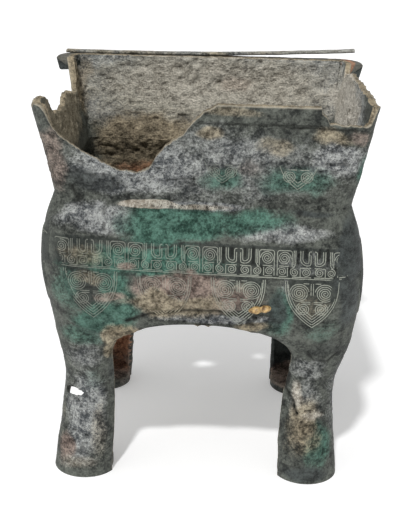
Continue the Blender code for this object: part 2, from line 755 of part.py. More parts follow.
def main():
    """Builds the vessel and the lump stuck to it."""
    clear_scene()
    parts = new_collection("square_bronze_ding")
    tools = new_collection("cutters")
    vessel = build_shell(parts)
    joined = [
        build_floor(tools),
        build_lip("back_lip", 1.0, BACK_LIP_OVERHANG, tools),
        build_lip("front_lip", -1.0, FRONT_LIP_OVERHANG, tools),
        build_lip_strip(tools),
        build_blades(tools),
    ]
    joined += [build_sole(side_x, side_y, tools) for side_x in (-1, 1) for side_y in (-1, 1)]
    for piece in joined:
        join_or_cut(vessel, piece, "UNION")
        bpy.data.objects.remove(piece)
    for cutter in build_cutters(tools):
        join_or_cut(vessel, cutter, "DIFFERENCE")
    lump = build_lump(parts)
    shade_round(vessel, new_material("patinated_bronze", PATINA_GREEN, 0.35, 0.75))
    shade_round(lump, new_material("golden_crust", GOLDEN_BROWN, 0.2, 0.45))


main()
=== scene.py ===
"""Square bronze ding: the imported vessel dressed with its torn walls, cast ornament and mineral crusts."""

import logging
import math
from dataclasses import dataclass
from enum import Enum
from typing import Any, Callable, Iterable, Optional, Sequence

import bmesh
import bpy
import numpy as np
from mathutils import Matrix, Vector


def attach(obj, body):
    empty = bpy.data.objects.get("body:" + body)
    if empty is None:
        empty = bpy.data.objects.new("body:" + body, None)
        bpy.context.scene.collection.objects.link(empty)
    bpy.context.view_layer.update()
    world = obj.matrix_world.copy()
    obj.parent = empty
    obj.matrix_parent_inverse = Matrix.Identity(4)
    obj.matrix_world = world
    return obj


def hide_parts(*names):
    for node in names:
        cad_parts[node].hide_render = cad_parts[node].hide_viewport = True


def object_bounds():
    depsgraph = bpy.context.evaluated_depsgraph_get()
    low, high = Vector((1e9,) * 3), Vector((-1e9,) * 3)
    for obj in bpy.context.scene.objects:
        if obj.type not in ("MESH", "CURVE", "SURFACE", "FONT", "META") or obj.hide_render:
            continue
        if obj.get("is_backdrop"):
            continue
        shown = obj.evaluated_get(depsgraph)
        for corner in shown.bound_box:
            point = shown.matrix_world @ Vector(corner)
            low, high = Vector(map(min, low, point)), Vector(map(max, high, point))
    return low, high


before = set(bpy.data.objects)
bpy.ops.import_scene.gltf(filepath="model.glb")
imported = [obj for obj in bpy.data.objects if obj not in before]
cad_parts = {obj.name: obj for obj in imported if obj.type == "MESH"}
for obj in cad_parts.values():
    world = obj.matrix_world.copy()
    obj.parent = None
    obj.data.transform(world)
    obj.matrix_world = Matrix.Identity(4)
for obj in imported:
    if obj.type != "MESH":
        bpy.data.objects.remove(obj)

LOG = logging.getLogger("ding")
MM = 0.001
CAD_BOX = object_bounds()

Points = np.ndarray
Line = Sequence[tuple[float, float]]


class Side(Enum):
    """The four sides of the square body."""

    FRONT = 0
    RIGHT = 1
    BACK = 2
    LEFT = 3


class Level(Enum):
    """The two heights of the wall, which meet in the crease of the waist."""

    NECK = "neck"
    BELLY = "belly"


class Mineral(Enum):
    """What lies on the bronze, each one a mask that the patina's nodes read."""

    MALACHITE = "malachite"
    LIME = "lime"
    EARTH = "earth"
    RUST = "rust"
    DARK = "dark"
    CREAM = "cream"
    IRON = "iron"
    CAKE = "cake"


# -------------------- small maths


def smoothstep(low: float, high: float, value: Points) -> Points:
    """Eases from 0 at low to 1 at high.

    Args:
        low: Where it starts.
        high: Where it ends.
        value: What is eased.

    Returns:
        The eased values.
    """
    share = np.clip((value - low) / (high - low), 0.0, 1.0)
    return share * share * (3.0 - 2.0 * share)


def scattered(i: Points, j: Points, k: Points, seed: int) -> Points:
    """A fixed value from -1 to 1 for each whole-number corner of a lattice.

    Args:
        i: First whole number.
        j: Second whole number.
        k: Third whole number.
        seed: Another seed gives other values.

    Returns:
        The values, the same on every run.
    """
    mixed = (i * 374761393 + j * 668265263 + k * 1440662683 + seed * 97471171) & 0xFFFFFFFF
    mixed = ((mixed ^ (mixed >> 13)) * 1274126177) & 0xFFFFFFFF
    return (mixed ^ (mixed >> 16)) / 2147483648.0 - 1.0


def grain(points: Points, cell: float, seed: int) -> Points:
    """Smooth noise through space.

    Args:
        points: Places, three numbers each.
        cell: The size of a grain, in metres.
        seed: Another seed gives another pattern.

    Returns:
        A value from -1 to 1 for each place.
    """
    at = points / cell + 31.7 * (seed % 13)
    corner = np.floor(at)
    part = at - corner
    part = part * part * part * (part * (part * 6.0 - 15.0) + 10.0)
    whole = corner.astype(np.int64)
    total = np.zeros(points.shape[:-1])
    for step_x in (0, 1):
        weight_x = part[..., 0] if step_x else 1.0 - part[..., 0]
        for step_y in (0, 1):
            weight_y = weight_x * (part[..., 1] if step_y else 1.0 - part[..., 1])
            for step_z in (0, 1):
                weight = weight_y * (part[..., 2] if step_z else 1.0 - part[..., 2])
                value = scattered(whole[..., 0] + step_x, whole[..., 1] + step_y, whole[..., 2] + step_z, seed)
                total += weight * value
    return total


def rough(points: Points, cell: float, seed: int, octaves: int = 3) -> Points:
    """Several sizes of grain on top of each other.

    Args:
        points: Places, three numbers each.
        cell: The size of the coarsest grain, in metres.
        seed: Another seed gives another pattern.
        octaves: How many sizes there are.

    Returns:
        A value of about -1 to 1 for each place.
    """
    total = np.zeros(points.shape[:-1])
    strength = 1.0
    for step in range(octaves):
        total += strength * grain(points, cell / 2.03**step, seed + 7 * step)
        strength *= 0.55
    return total / 1.6


def smooth_through(stations: Line, at: Points) -> Points:
    """Reads a curve through (place, value) stations that keeps between them.

    Args:
        stations: The places and values, in rising order of place.
        at: Where to read the curve.

    Returns:
        The values there.
    """
    places = np.array([place for place, _ in stations])
    values = np.array([value for _, value in stations])
    slopes = np.diff(values) / np.diff(places)
    tangents = np.concatenate((slopes[:1], np.zeros(len(slopes) - 1), slopes[-1:]))
    for i in range(1, len(slopes)):
        if slopes[i - 1] * slopes[i] > 0:
            tangents[i] = 2 * slopes[i - 1] * slopes[i] / (slopes[i - 1] + slopes[i])
    at = np.clip(at, places[0], places[-1])
    i = np.clip(np.searchsorted(places, at, side="right") - 1, 0, len(slopes) - 1)
    width = places[i + 1] - places[i]
    t = (at - places[i]) / width
    return (
        (2 * t**3 - 3 * t**2 + 1) * values[i]
        + (t**3 - 2 * t**2 + t) * width * tangents[i]
        + (3 * t**2 - 2 * t**3) * values[i + 1]
        + (t**3 - t**2) * width * tangents[i + 1]
    )


def stretch_to(line: Line, places: Points, outside: float = -1.0) -> Points:
    """Reads a broken line of (place, value) points, with a fixed value beyond its ends."""
    at = [place for place, _ in line]
    return np.interp(places, at, [value for _, value in line], left=outside, right=outside)


def unit(arrows: Points, least: float = 1e-9) -> Points:
    """Makes each arrow one long, and leaves those shorter than the least as they are."""
    return arrows / np.maximum(np.linalg.norm(arrows, axis=-1, keepdims=True), least)


def linear(shade: str) -> tuple[float, float, float, float]:
    """Turns an sRGB hex colour into the linear one that the nodes take.

    Args:
        shade: A colour such as #4f7d70.

    Returns:
        Red, green, blue and alpha.
    """
    channels = [int(shade[i : i + 2], 16) / 255 for i in (1, 3, 5)]
    red, green, blue = (c / 12.92 if c <= 0.04045 else ((c + 0.055) / 1.055) ** 2.4 for c in channels)
    return red, green, blue, 1.0


# -------------------- the casting's shape


@dataclass(frozen=True)
class Casting:
    """The sizes of the casting, as in the part's source, and the surface that they give."""

    rim: float = 0.2437
    waist: float = 0.1845
    shoulder: float = 0.1665
    belly: float = 0.1400
    hip: float = 0.0980
    ankle: float = 0.0620
    half_rim: float = 0.0990
    half_waist: float = 0.0883
    half_shoulder: float = 0.0936
    half_belly: float = 0.0966
    half_hip: float = 0.0919
    half_ankle: float = 0.0853
    half_foot: float = 0.0907
    shortfall: float = 0.0098
    rim_corner: float = 0.0110
    waist_corner: float = 0.0120
    belly_corner: float = 0.0240
    ankle_radius: float = 0.0172
    foot_radius: float = 0.0206
    leg_wrap: float = 105.0
    bow: float = 0.0020
    wall: float = 0.0030
    apex: float = 0.1100
    sag: float = 0.0026
    lean: float = 0.0021
    lean_reach: float = 0.0330
    splay: float = 0.0022
    splay_from: float = 0.0800
    middle_y: float = -0.00275
    lip_height: float = 0.0098
    lip_overhang: float = 0.0085
    front_overhang: float = 0.0010
    lip_swell: float = 0.0034
    swell_reach: float = 0.0185
    band_top: float = 0.1620
    band_bottom: float = 0.1440
    band_relief: float = 0.0006
    blade_pitch: float = 0.0436
    blade_width: float = 0.0325
    blade_length: float = 0.0320
    blade_drop: float = 0.0007
    blade_relief: float = 0.0007
    blade_power: float = 2.6
    bite: float = 54.0
    bite_height: float = 0.0425
    bite_reach: float = 0.0130

    def half_width(self, height: Points) -> Points:
        """Outer half width of the body.

        Args:
            height: Above the ground.

        Returns:
            Half of the width there.
        """
        flare = (self.half_rim - self.half_waist) / (self.rim - self.waist)
        stations = (
            (0.0, self.half_foot),
            (self.ankle, self.half_ankle),
            (self.hip, self.half_hip),
            (self.belly, self.half_belly),
            (self.shoulder, self.half_shoulder),
            (self.waist, self.half_waist),
        )
        neck = self.half_waist + flare * (height - self.waist)
        return np.where(height >= self.waist, neck, smooth_through(stations, height))

    def half_depth(self, height: Points) -> Points:
        """Outer half depth of the body at a height."""
        return self.half_width(height) - self.shortfall

    def corner(self, height: Points) -> Points:
        """Radius of the vertical corners.

        Args:
            height: Above the ground.

        Returns:
            The radius there.
        """
        stations = (
            (self.ankle, self.ankle_radius),
            (self.belly, self.belly_corner),
            (self.waist, self.waist_corner),
            (self.rim, self.rim_corner),
        )
        return smooth_through(stations, height)

    def bow_at(self, height: Points) -> Points:
        """How far the middle of a side bows out at a height."""
        reach = np.where(height < self.belly, self.belly - self.ankle, self.waist - self.belly)
        return self.bow * np.maximum(0.0, 1 - ((height - self.belly) / reach) ** 2)

    def settle(self, x: Points, y: Points, height: Points) -> Points:
        """Moves points of the even shape to where they lie in the settled casting.

        Args:
            x: Across.
            y: From front to back.
            height: Above the ground.

        Returns:
            The settled places, three numbers each.
        """
        share = np.clip((height - self.ankle) / (self.rim - self.ankle), 0.0, 1.0)
        sag = self.sag * np.sin(np.pi * share) * x / self.half_belly
        lean = self.lean * np.exp(-(((height - self.hip) / self.lean_reach) ** 2))
        splay = np.where(x < 0, self.splay * np.clip(1 - height / self.splay_from, 0.0, 1.0), 0.0)
        return np.stack(np.broadcast_arrays(x + lean - splay, y + self.middle_y, height - sag), axis=-1)

    def turned(self, side: Side, across: Points, out: Points) -> tuple[Points, Points]:
        """Turns a place on one side into the model's own directions.

        Args:
            side: Which side.
            across: How far along the side.
            out: How far out of it.

        Returns:
            X and Y.
        """
        if side is Side.FRONT:
            return across, -out
        if side is Side.RIGHT:
            return out, across
        if side is Side.BACK:
            return -across, out
        return -out, -across

    def halves(self, side: Side, height: Points) -> tuple[Points, Points]:
        """How wide a side is and where it lies.

        Args:
            side: Which side.
            height: Above the ground.

        Returns:
            Half of its width, and how far it lies from the middle.
        """
        if side in (Side.FRONT, Side.BACK):
            return self.half_width(height), self.half_depth(height)
        return self.half_depth(height), self.half_width(height)

    def side_at(self, side: Side, share: Points, height: Points) -> tuple[Points, Points]:
        """A side's outer face, from the middle of one corner to the middle of the next.

        Args:
            side: Which side.
            share: From -1 to 1 along the outline.
            height: Above the ground.

        Returns:
            X and Y of the even shape, and the level direction that points out of it, two numbers each.
        """
        a, b = self.halves(side, height)
        r = self.corner(height)
        bow = self.bow_at(height)
        along = np.abs(share) * (a - r + r * np.pi / 4)
        turn = np.maximum(along - (a - r), 0.0) / r
        own = bow * (1 - ((a - r) / a) ** 2)
        other = bow * (1 - ((b - r) / b) ** 2)
        extra = own + (other - own) / 2 * np.clip(turn / (np.pi / 4), 0.0, 1.0)
        flat = along <= a - r
        across = np.where(flat, along, a - r + (r + extra) * np.sin(turn)) * np.sign(share)
        out = np.where(flat, b + bow * (1 - (along / a) ** 2), b - r + (r + extra) * np.cos(turn))
        lean = np.where(flat, 2 * bow * along / a**2, np.sin(turn)) * np.sign(share)
        upright = np.where(flat, 1.0, np.cos(turn))
        size = np.hypot(lean, upright)
        x, y = self.turned(side, across, out)
        nx, ny = self.turned(side, lean / size, upright / size)
        return np.stack(np.broadcast_arrays(x, y), -1), np.stack(np.broadcast_arrays(nx, ny), -1)

    def face_point(self, side: Side, across: Points, height: Points, lift: Points) -> Points:
        """Settled places on a side's outer face, by their distance across it.

        Args:
            side: Which side.
            across: Distance from the side's middle.
            height: Above the ground.
            lift: How far off the face.

        Returns:
            The places, three numbers each.
        """
        a, b = self.halves(side, height)
        r = self.corner(height)
        past = np.clip(np.abs(across) - (a - r), 0.0, r)
        out = b + self.bow_at(height) * np.maximum(0.0, 1 - (across / a) ** 2) - r + np.sqrt(r**2 - past**2)
        x, y = self.turned(side, across, out + lift)
        return self.settle(x, y, height)

    def quarter(self, height: Points, column: Points, start_x: Points, start_y: Points, grow: Points) -> Points:
        """One quarter of the outline, from start_x on the front to start_y on the side.

        Args:
            height: Above the ground.
            column: From 0 to 14 along the quarter: 5 for the front, 4 for the corner and 5 for the side.
            start_x: Where it starts on the front.
            start_y: Where it ends on the side.
            grow: How far outside the body's own outline it runs.

        Returns:
            X and Y of each point.
        """
        a = self.half_width(height) + grow
        b = self.half_depth(height) + grow
        r = self.corner(height) + grow
        bow = self.bow_at(height)
        extra = bow * np.maximum(0.0, 1 - ((a - r) / a) ** 2)
        turn = np.pi / 2 * np.clip((column - 5) / 4, 0.0, 1.0)
        x_front = start_x + (a - r - start_x) * np.clip(column / 5, 0.0, 1.0)
        y_side = start_y + (b - r - start_y) * np.clip((14 - column) / 5, 0.0, 1.0)
        y_front = b + bow * np.maximum(0.0, 1 - (x_front / a) ** 2)
        x_side = a + bow * np.maximum(0.0, 1 - (y_side / b) ** 2)
        x_corner = a - r + (r + extra) * np.sin(turn)
        y_corner = b - r + (r + extra) * np.cos(turn)
        front, side = column < 5, column > 9
        x = np.where(front, x_front, np.where(side, x_side, x_corner))
        y = np.where(front, y_front, np.where(side, y_side, y_corner))
        return np.stack((x, y), axis=-1)

    def pitch(self, side: Side) -> float:
        """Distance between the blades' middles, which is smaller on the narrower sides.

        Args:
            side: Which side.

        Returns:
            The distance.
        """
        if side in (Side.FRONT, Side.BACK):
            return self.blade_pitch
        return self.blade_pitch * (self.half_belly - self.shortfall) / self.half_belly

    def leg_radius(self, height: Points) -> Points:
        """Outer radius of a leg at a height."""
        share = np.clip(height / self.ankle, 0.0, 1.0)
        return self.foot_radius + (self.ankle_radius - self.foot_radius) * share

    def leg_round(self, height: Points, column: Points, bitten: float = 0.0) -> Points:
        """Points round a leg's outer face, by the same columns as a quarter.

        Args:
            height: Above the ground.
            column: From 0 to 14 round the leg.
            bitten: 1 where the corroded free edge draws back, level with the hole in the leg.

        Returns:
            X and Y of each point.
        """
        radius = self.leg_radius(height)
        bite = self.bite * bitten * np.exp(-(((height - self.bite_height) / self.bite_reach) ** 4))
        turn = np.radians(45 + self.leg_wrap - (2 * self.leg_wrap - bite) * column / 14)
        x = self.half_width(height) - radius + radius * np.cos(turn)
        y = self.half_depth(height) - radius + radius * np.sin(turn)
        return np.stack((x, y), axis=-1)


CASTING = Casting()

# Where the walls are torn: along the wall, and how far below the rim.
FRONT_TEAR: Line = (
    (-0.0960, -0.0060), (-0.0930, 0.0025), (-0.0900, 0.0065), (-0.0868, 0.0145), (-0.0819, 0.0212),
    (-0.0702, 0.0298), (-0.0591, 0.0365), (-0.0495, 0.0410), (-0.0382, 0.0424), (-0.0315, 0.0404),
    (-0.0279, 0.0338), (-0.0242, 0.0284), (-0.0191, 0.0230), (-0.0118, 0.0183), (-0.0068, 0.0113),
    (-0.0003, 0.0043), (0.0060, 0.0014), (0.0140, -0.0060),
)
RIGHT_FRONT_TEAR: Line = (
    (0.0648, -0.0060), (0.0656, 0.0030), (0.0690, 0.0064), (0.0704, 0.0090), (0.0810, 0.0097),
    (0.0925, 0.0102), (0.0948, 0.0085), (0.0965, 0.0030), (0.0990, -0.0060),
)
LEFT_TEAR: Line = (
    (-0.1040, 0.0040), (-0.0850, 0.0030), (-0.0700, 0.0024), (-0.0560, 0.0036), (-0.0515, 0.0060),
    (-0.0460, 0.0092), (-0.0405, 0.0150), (-0.0326, 0.0190), (-0.0200, 0.0198), (0.0040, 0.0221),
    (0.0105, 0.0175), (0.0165, 0.0159), (0.0300, 0.0170), (0.0440, 0.0206), (0.0560, 0.0222),
    (0.0625, 0.0140), (0.0650, 0.0000), (0.0655, -0.0060),
)
RIGHT_TEAR: Line = (
    (-0.0800, -0.0060), (-0.0760, 0.0006), (-0.0600, 0.0010), (-0.0450, 0.0002), (-0.0250, 0.0012),
    (-0.0050, 0.0007), (0.0150, 0.0018), (0.0380, 0.0020), (0.0560, 0.0046), (0.0640, 0.0080),
    (0.0700, 0.0030), (0.0716, -0.0060),
)
TEAR_INSET = 0.0120

# Deep slots of one dragon: middle across, lower end, upper end and width, in millimetres. The slots are painted dark
# as shade.
BAND_SLOTS: tuple[tuple[float, float, float, float], ...] = (
    (13.1, 6.6, 16.6, 1.7), (18.0, 10.8, 16.2, 1.5), (8.3, 1.6, 5.8, 1.3),
)


def torn_depth(x: Points, y: Points) -> Points:
    """How far the wall's top lies below the rim.

    Args:
        x: Across the even shape.
        y: From front to back.

    Returns:
        The depth, 0 where the rim is whole.
    """
    inner_x = CASTING.half_waist - TEAR_INSET
    inner_y = CASTING.half_waist - CASTING.shortfall - TEAR_INSET
    front = np.maximum(stretch_to(FRONT_TEAR, x), stretch_to(RIGHT_FRONT_TEAR, x))
    depth = np.where(y < -inner_y, front, 0.0)
    depth = np.maximum(depth, np.where(x < -inner_x, stretch_to(LEFT_TEAR, y), 0.0))
    return np.maximum(depth, np.where(x > inner_x, stretch_to(RIGHT_TEAR, y), 0.0))


# -------------------- what lies on the bronze


@dataclass(frozen=True)
class Deposit:
    """One soft-edged patch of a mineral. Its middle and reach are in millimetres."""

    mineral: Mineral
    middle: tuple[float, ...]
    reach: tuple[float, ...]
    strength: float


def patches(table: dict[Mineral, Sequence[tuple[float, ...]]]) -> tuple[Deposit, ...]:
    """Reads a table of patches.

    Args:
        table: Under each mineral its patches, as the middle's x, y and z, the reach in x, y and z, and the strength.

    Returns:
        The patches.
    """
    return tuple(Deposit(mineral, row[:3], row[3:6], row[6]) for mineral, rows in table.items() for row in rows)


def on_front(table: dict[Mineral, Sequence[tuple[float, ...]]]) -> tuple[Deposit, ...]:
    """Reads a table of patches on the front face, which thin out round the corners.

    Args:
        table: Under each mineral its patches, as the middle's x and z, the reach in x and z, and the strength.

    Returns:
        The patches.
    """
    return patches({
        kind: [(x, -88.0, z, rx, 26.0, rz, much) for x, z, rx, rz, much in rows] for kind, rows in table.items()
    })


# The front's patches go from the neck down to the feet, the others' from the right side round to the left.
OUTER_DEPOSITS = on_front({
    Mineral.LIME: (
        (0, 206, 120, 34, 0.52), (-37, 204, 50, 20, 0.90), (20, 213, 40, 17, 0.62), (76, 211, 20, 13, 0.85),
        # The thin lime line at about 182 mm, just under the waist's crease, is partly pale crust and partly a painted
        # highlight where the shoulder faces up.
        (-4, 182.2, 30, 3.2, 1.6), (48, 168, 34, 8, 0.72), (-62, 174, 28, 11, 0.90), (62, 151, 30, 9, 0.42),
        (8, 114.5, 42, 3.6, 1.15), (50, 132, 9, 18, 0.42), (-72, 82, 20, 18, 0.55), (66, 78, 16, 14, 0.55),
        (-72, 44, 22, 40, 0.85), (66, 52, 18, 28, 0.62),
    ),
    Mineral.MALACHITE: (
        (12, 197, 17, 11, 0.75), (54, 199, 28, 13, 0.72), (92, 203, 7, 16, 0.80), (-14, 173, 38, 13, 1.15),
        (30, 174, 30, 10, 0.80), (-30, 151, 52, 12, 0.95), (-48, 134, 12, 14, 0.85), (-58, 112, 22, 14, 0.95),
        (-80, 132, 14, 22, 0.55), (16, 137, 26, 6, 0.55), (46, 122, 11, 20, 0.80), (-72, 100, 20, 10, 0.60),
        (74, 108, 20, 12, 0.45), (78, 24, 16, 22, 0.75), (-66, 66, 14, 14, 0.45),
    ),
    Mineral.DARK: (
        (-62, 197, 26, 10, 0.74), (-20, 196, 20, 6, 0.40), (44, 222, 34, 13, 0.40), (64, 180.0, 18, 2.4, 0.8),
        (88, 158, 12, 32, 0.95), (90, 126, 10, 24, 0.95), (-60, 108, 26, 18, 0.45), (44, 122, 9, 18, 0.85),
        (75, 94, 14, 10, 0.50), (52, 70, 6, 24, 0.80), (-52, 70, 7, 24, 0.65), (70, 6, 24, 7, 0.85),
    ),
    Mineral.RUST: (
        (-86, 210, 11, 30, 0.62), (87, 228, 8, 9, 0.60), (28, 205, 12, 9, 0.45), (-43, 147, 8, 3, 0.8),
        (-53, 128, 12, 5, 0.72), (-4, 131, 42, 16, 1.05), (-38, 104, 11, 6, 0.4), (-84, 20, 10, 14, 0.85),
    ),
    Mineral.EARTH: (
        (14, 240, 26, 4, 0.60), (4, 226, 11, 5, 0.75), (40, 220, 16, 9, 0.60), (72, 226, 14, 8, 0.75),
        (-70, 153, 20, 8, 0.55), (-16, 122, 36, 11, 0.95), (-66, 140, 14, 6, 0.55), (66, 128, 16, 15, 0.42),
        (-52, 92, 9, 18, 1.0), (-62, 34, 8, 30, 0.50), (66, 42, 16, 24, 0.85), (-90, 40, 7, 34, 0.75),
    ),
    Mineral.CAKE: ((-44, 103, 15, 6, 0.70), (32, 110, 14, 4, 0.65), (66, 32, 18, 20, 0.58)),
    Mineral.CREAM: (
        # The first two cream lines, just under the waist's crease, are partly pale crust and partly a painted
        # highlight where the shoulder faces up.
        (-31, 182.6, 19, 2.8, 2.0), (-2, 182.0, 27, 2.2, 0.80), (61, 60, 5, 14, 0.85), (74, 46, 12, 5, 0.70),
        (-78, 10, 22, 7, 0.55),
    ),
}) + patches({
    Mineral.LIME: (
        (95, -10, 210, 22, 76, 24, 0.72), (95, 46, 166, 24, 36, 16, 0.60), (92, -58, 60, 28, 26, 56, 0.55),
        (24, 86, 206, 80, 24, 24, 0.70), (-62, 86, 150, 36, 24, 26, 0.55), (68, 74, 50, 26, 28, 56, 0.60),
        (-96, 10, 202, 22, 80, 22, 0.72), (-90, -50, 60, 28, 28, 54, 0.55), (-90, 56, 48, 28, 28, 46, 0.55),
    ),
    Mineral.MALACHITE: (
        (95, 30, 194, 22, 50, 14, 0.62), (95, -16, 172, 24, 66, 13, 0.85), (92, 62, 74, 28, 28, 46, 0.60),
        (-10, 86, 170, 80, 24, 15, 0.85), (-96, -8, 168, 24, 70, 15, 0.85), (-96, 40, 116, 24, 34, 18, 0.60),
    ),
    Mineral.DARK: (
        (95, 10, 146, 24, 60, 14, 0.60), (-50, 86, 200, 46, 24, 24, 0.60), (-96, -46, 214, 22, 30, 18, 0.50),
        (-90, 60, 92, 28, 28, 22, 0.50), (0, 60, 40, 110, 24, 56, 0.90),
    ),
    Mineral.RUST: (
        (95, 0, 122, 24, 50, 14, 0.75), (0, 86, 124, 66, 24, 14, 0.75), (-96, -14, 128, 24, 46, 16, 0.70),
    ),
    Mineral.EARTH: (
        (95, 10, 236, 22, 70, 9, 0.62), (88, 60, 22, 28, 30, 18, 0.62), (60, 86, 156, 36, 24, 18, 0.55),
        (-70, 74, 34, 28, 28, 34, 0.60), (-96, 48, 148, 24, 34, 16, 0.55),
    ),
    Mineral.CAKE: ((-48, 58, 50, 12, 26, 64, 1.0),),
})

INNER_DEPOSITS = patches({
    Mineral.LIME: ((0, 82, 222, 140, 24, 44, 1.1), (90, 0, 224, 16, 80, 30, 1.0)),
    Mineral.MALACHITE: ((0, 82, 224, 140, 24, 40, 0.50), (-40, 82, 224, 60, 20, 18, 0.40)),
    Mineral.EARTH: (
        (0, 82, 212, 140, 24, 60, 0.62), (-92, -10, 222, 18, 100, 40, 0.8), (0, -10, 118, 95, 85, 14, 0.9),
        (0, -84, 160, 70, 14, 30, 0.7),
    ),
    Mineral.CAKE: (
        (-46, 84, 184, 52, 26, 24, 1.15), (-30, 90, 156, 80, 30, 26, 1.10), (-92, 70, 225, 16, 20, 30, 0.80),
        (-10, -84, 222, 40, 14, 26, 0.9),
    ),
    Mineral.IRON: ((20, 82, 226, 18, 16, 9, 0.50), (-44, 88, 158, 40, 26, 14, 0.60)),
    Mineral.CREAM: ((10, 82, 226, 140, 24, 34, 0.66), (90, 20, 222, 14, 70, 30, 1.3)),
})

LIP_DEPOSITS = patches({
    Mineral.MALACHITE: ((40, 97, 236, 40, 8, 8, 0.6),),
    Mineral.DARK: ((-104, 72, 237, 12, 24, 13, 1.8), (106, 72, 237, 9, 22, 11, 1.8)),
    Mineral.RUST: ((-101, 76, 242, 12, 22, 8, 0.35),),
    Mineral.EARTH: ((0, 95, 243, 80, 24, 12, 0.62),),
    Mineral.IRON: ((95, 74, 243, 7, 20, 8, 1.8), (18, 95, 246, 16, 20, 6, 0.55)),
})

# The dark laid inside the hollow legs and on their soles is painted shade, strongest in the back right leg's hollow.
HOLLOW_DEPOSITS = patches({
    Mineral.DARK: ((0, 0, 60, 130, 130, 130, 0.8), (64, 62, 40, 26, 26, 60, 1.2)),
    Mineral.RUST: ((-64, 62, 30, 22, 22, 44, 1.0), (62, 60, 8, 26, 26, 8, 0.8)),
    Mineral.EARTH: ((-52, 74, 52, 6, 10, 30, 0.9), (-60, -60, 50, 22, 22, 40, 0.4)),
    Mineral.IRON: ((-64, 66, 40, 16, 20, 46, 0.75),),
})

# How much crust lies on a torn edge, and how pale each side's torn edge is painted: partly the break's own pale
# crust, partly a painted highlight along its top, strongest on the front.
TORN_CRUST = 0.75
EDGE_CRUST_AND_HIGHLIGHT: dict[Side, float] = {Side.FRONT: 1.0, Side.RIGHT: 0.35, Side.BACK: 0.1, Side.LEFT: 0.40}

# How much more jagged than the front's a side's torn edge is, and how far up it is set, in millimetres.
JAGS: dict[Side, tuple[float, float]] = {Side.LEFT: (2.2, -0.6), Side.RIGHT: (1.5, -0.3)}


class Patina:
    """Works out, point by point, how the minerals lie and how rough they make the surface."""

    def __init__(self, casting: Casting) -> None:
        """Keeps the casting that the minerals lie on."""
        self.casting = casting

    def masks(self, points: Points, deposits: Sequence[Deposit], seed: int) -> dict[str, Points]:
        """One mask per mineral.

        Args:
            points: Places on the surface.
            deposits: The patches that may lie there.
            seed: Another seed warps the patches' edges another way.

        Returns:
            Each mineral's name, with a value of about 0 to 1 for each place.
        """
        warp = np.stack([6.0 * rough(points, 0.016, seed + i) for i in range(3)], axis=-1)
        place = points / MM
        found = {mineral.value: np.zeros(points.shape[:-1]) for mineral in Mineral}
        for deposit in deposits:
            share = min(1.0, min(deposit.reach) / 12.0)
            reach = np.linalg.norm((place + share * warp - deposit.middle) / deposit.reach, axis=-1)
            soft = deposit.strength * (1 - smoothstep(0.35, 1.30, reach))
            found[deposit.mineral.value] = np.maximum(found[deposit.mineral.value], soft)
        return found

    def lay(
        self, points: Points, deposits: Sequence[Deposit], seed: int, lumpy: float = 1.0
    ) -> tuple[dict[str, Points], Points]:
        """Lays the minerals on a face.

        Args:
            points: Places on the face.
            deposits: The patches that may lie there.
            seed: Another seed warps the patches' edges another way.
            lumpy: How lumpy the face is against the outside of the vessel.

        Returns:
            The masks, and how far the crust stands off the casting, in metres.
        """
        masks = self.masks(points, deposits, seed)
        cake = np.clip(masks["cake"], 0.0, 1.2)
        heavy = masks["lime"] + 0.7 * masks["earth"] + 0.5 * masks["rust"] + 0.8 * cake
        heavy = np.clip(heavy - 0.5 * masks["dark"], 0.0, 1.2)
        swell = 0.40 * grain(points, 0.026, 3) + 0.22 * grain(points, 0.011, 5)
        big = rough(points, 0.0088, 29)
        lumps = rough(points, 0.0056, 11)
        fine = rough(points, 0.0020, 17, 2)
        pits = smoothstep(0.42, 0.66, grain(points, 0.0026, 23))
        relief = 0.16 + 0.60 * heavy
        lift = swell + relief * min(lumpy, 1.5) * lumps + (0.07 + 0.30 * heavy) * fine
        lift = lift - relief * pits + 0.12 * heavy + cake * (0.5 + 1.3 * big + 0.6 * lumps)
        pores = smoothstep(0.25, 0.75, -fine)
        pores = np.maximum(pores, 1.4 * cake * smoothstep(0.10, 0.50, -big - 0.5 * lumps))
        dotted = 0.15 + 0.60 * masks["lime"] + 0.10 * masks["earth"] + 0.55 * cake
        masks["pit"] = np.clip(dotted * np.maximum(pits, 0.6 * pores), 0.0, 1.0) / max(lumpy, 1.0)
        # rise paints raised lumps paler and hollows darker in the colour: painted relief shading.
        masks["rise"] = np.clip(0.5 + 0.45 * lumps + 0.35 * fine, 0.0, 1.0)
        masks["dots"] = (0.30 + 0.60 * masks["lime"]) / max(lumpy, 1.0) ** 2
        masks["heavy"] = heavy
        masks["ground"] = np.zeros(points.shape[:-1])
        return masks, lift * MM


@dataclass(frozen=True)
class Scar:
    """A dent, a crack or a ridge in a face, along a line of (across, height) points in millimetres."""

    line: Line
    width: float
    depth: float
    dark: float = 0.0

    def reach(self, across: Points, height: Points) -> Points:
        """Distance from the line, in millimetres.

        Args:
            across: Distance across the face, in metres.
            height: Above the ground, in metres.

        Returns:
            The distance of each place from the line.
        """
        u, v = across / MM, height / MM
        nearest = np.full(u.shape, 1e9)
        starts = list(self.line)
        ends = starts[1:] if len(starts) > 1 else starts
        for (u0, v0), (u1, v1) in zip(starts, ends):
            du, dv = u1 - u0, v1 - v0
            size = max(du * du + dv * dv, 1e-9)
            t = np.clip(((u - u0) * du + (v - v0) * dv) / size, 0.0, 1.0)
            nearest = np.minimum(nearest, np.hypot(u - u0 - t * du, v - v0 - t * dv))
        return nearest


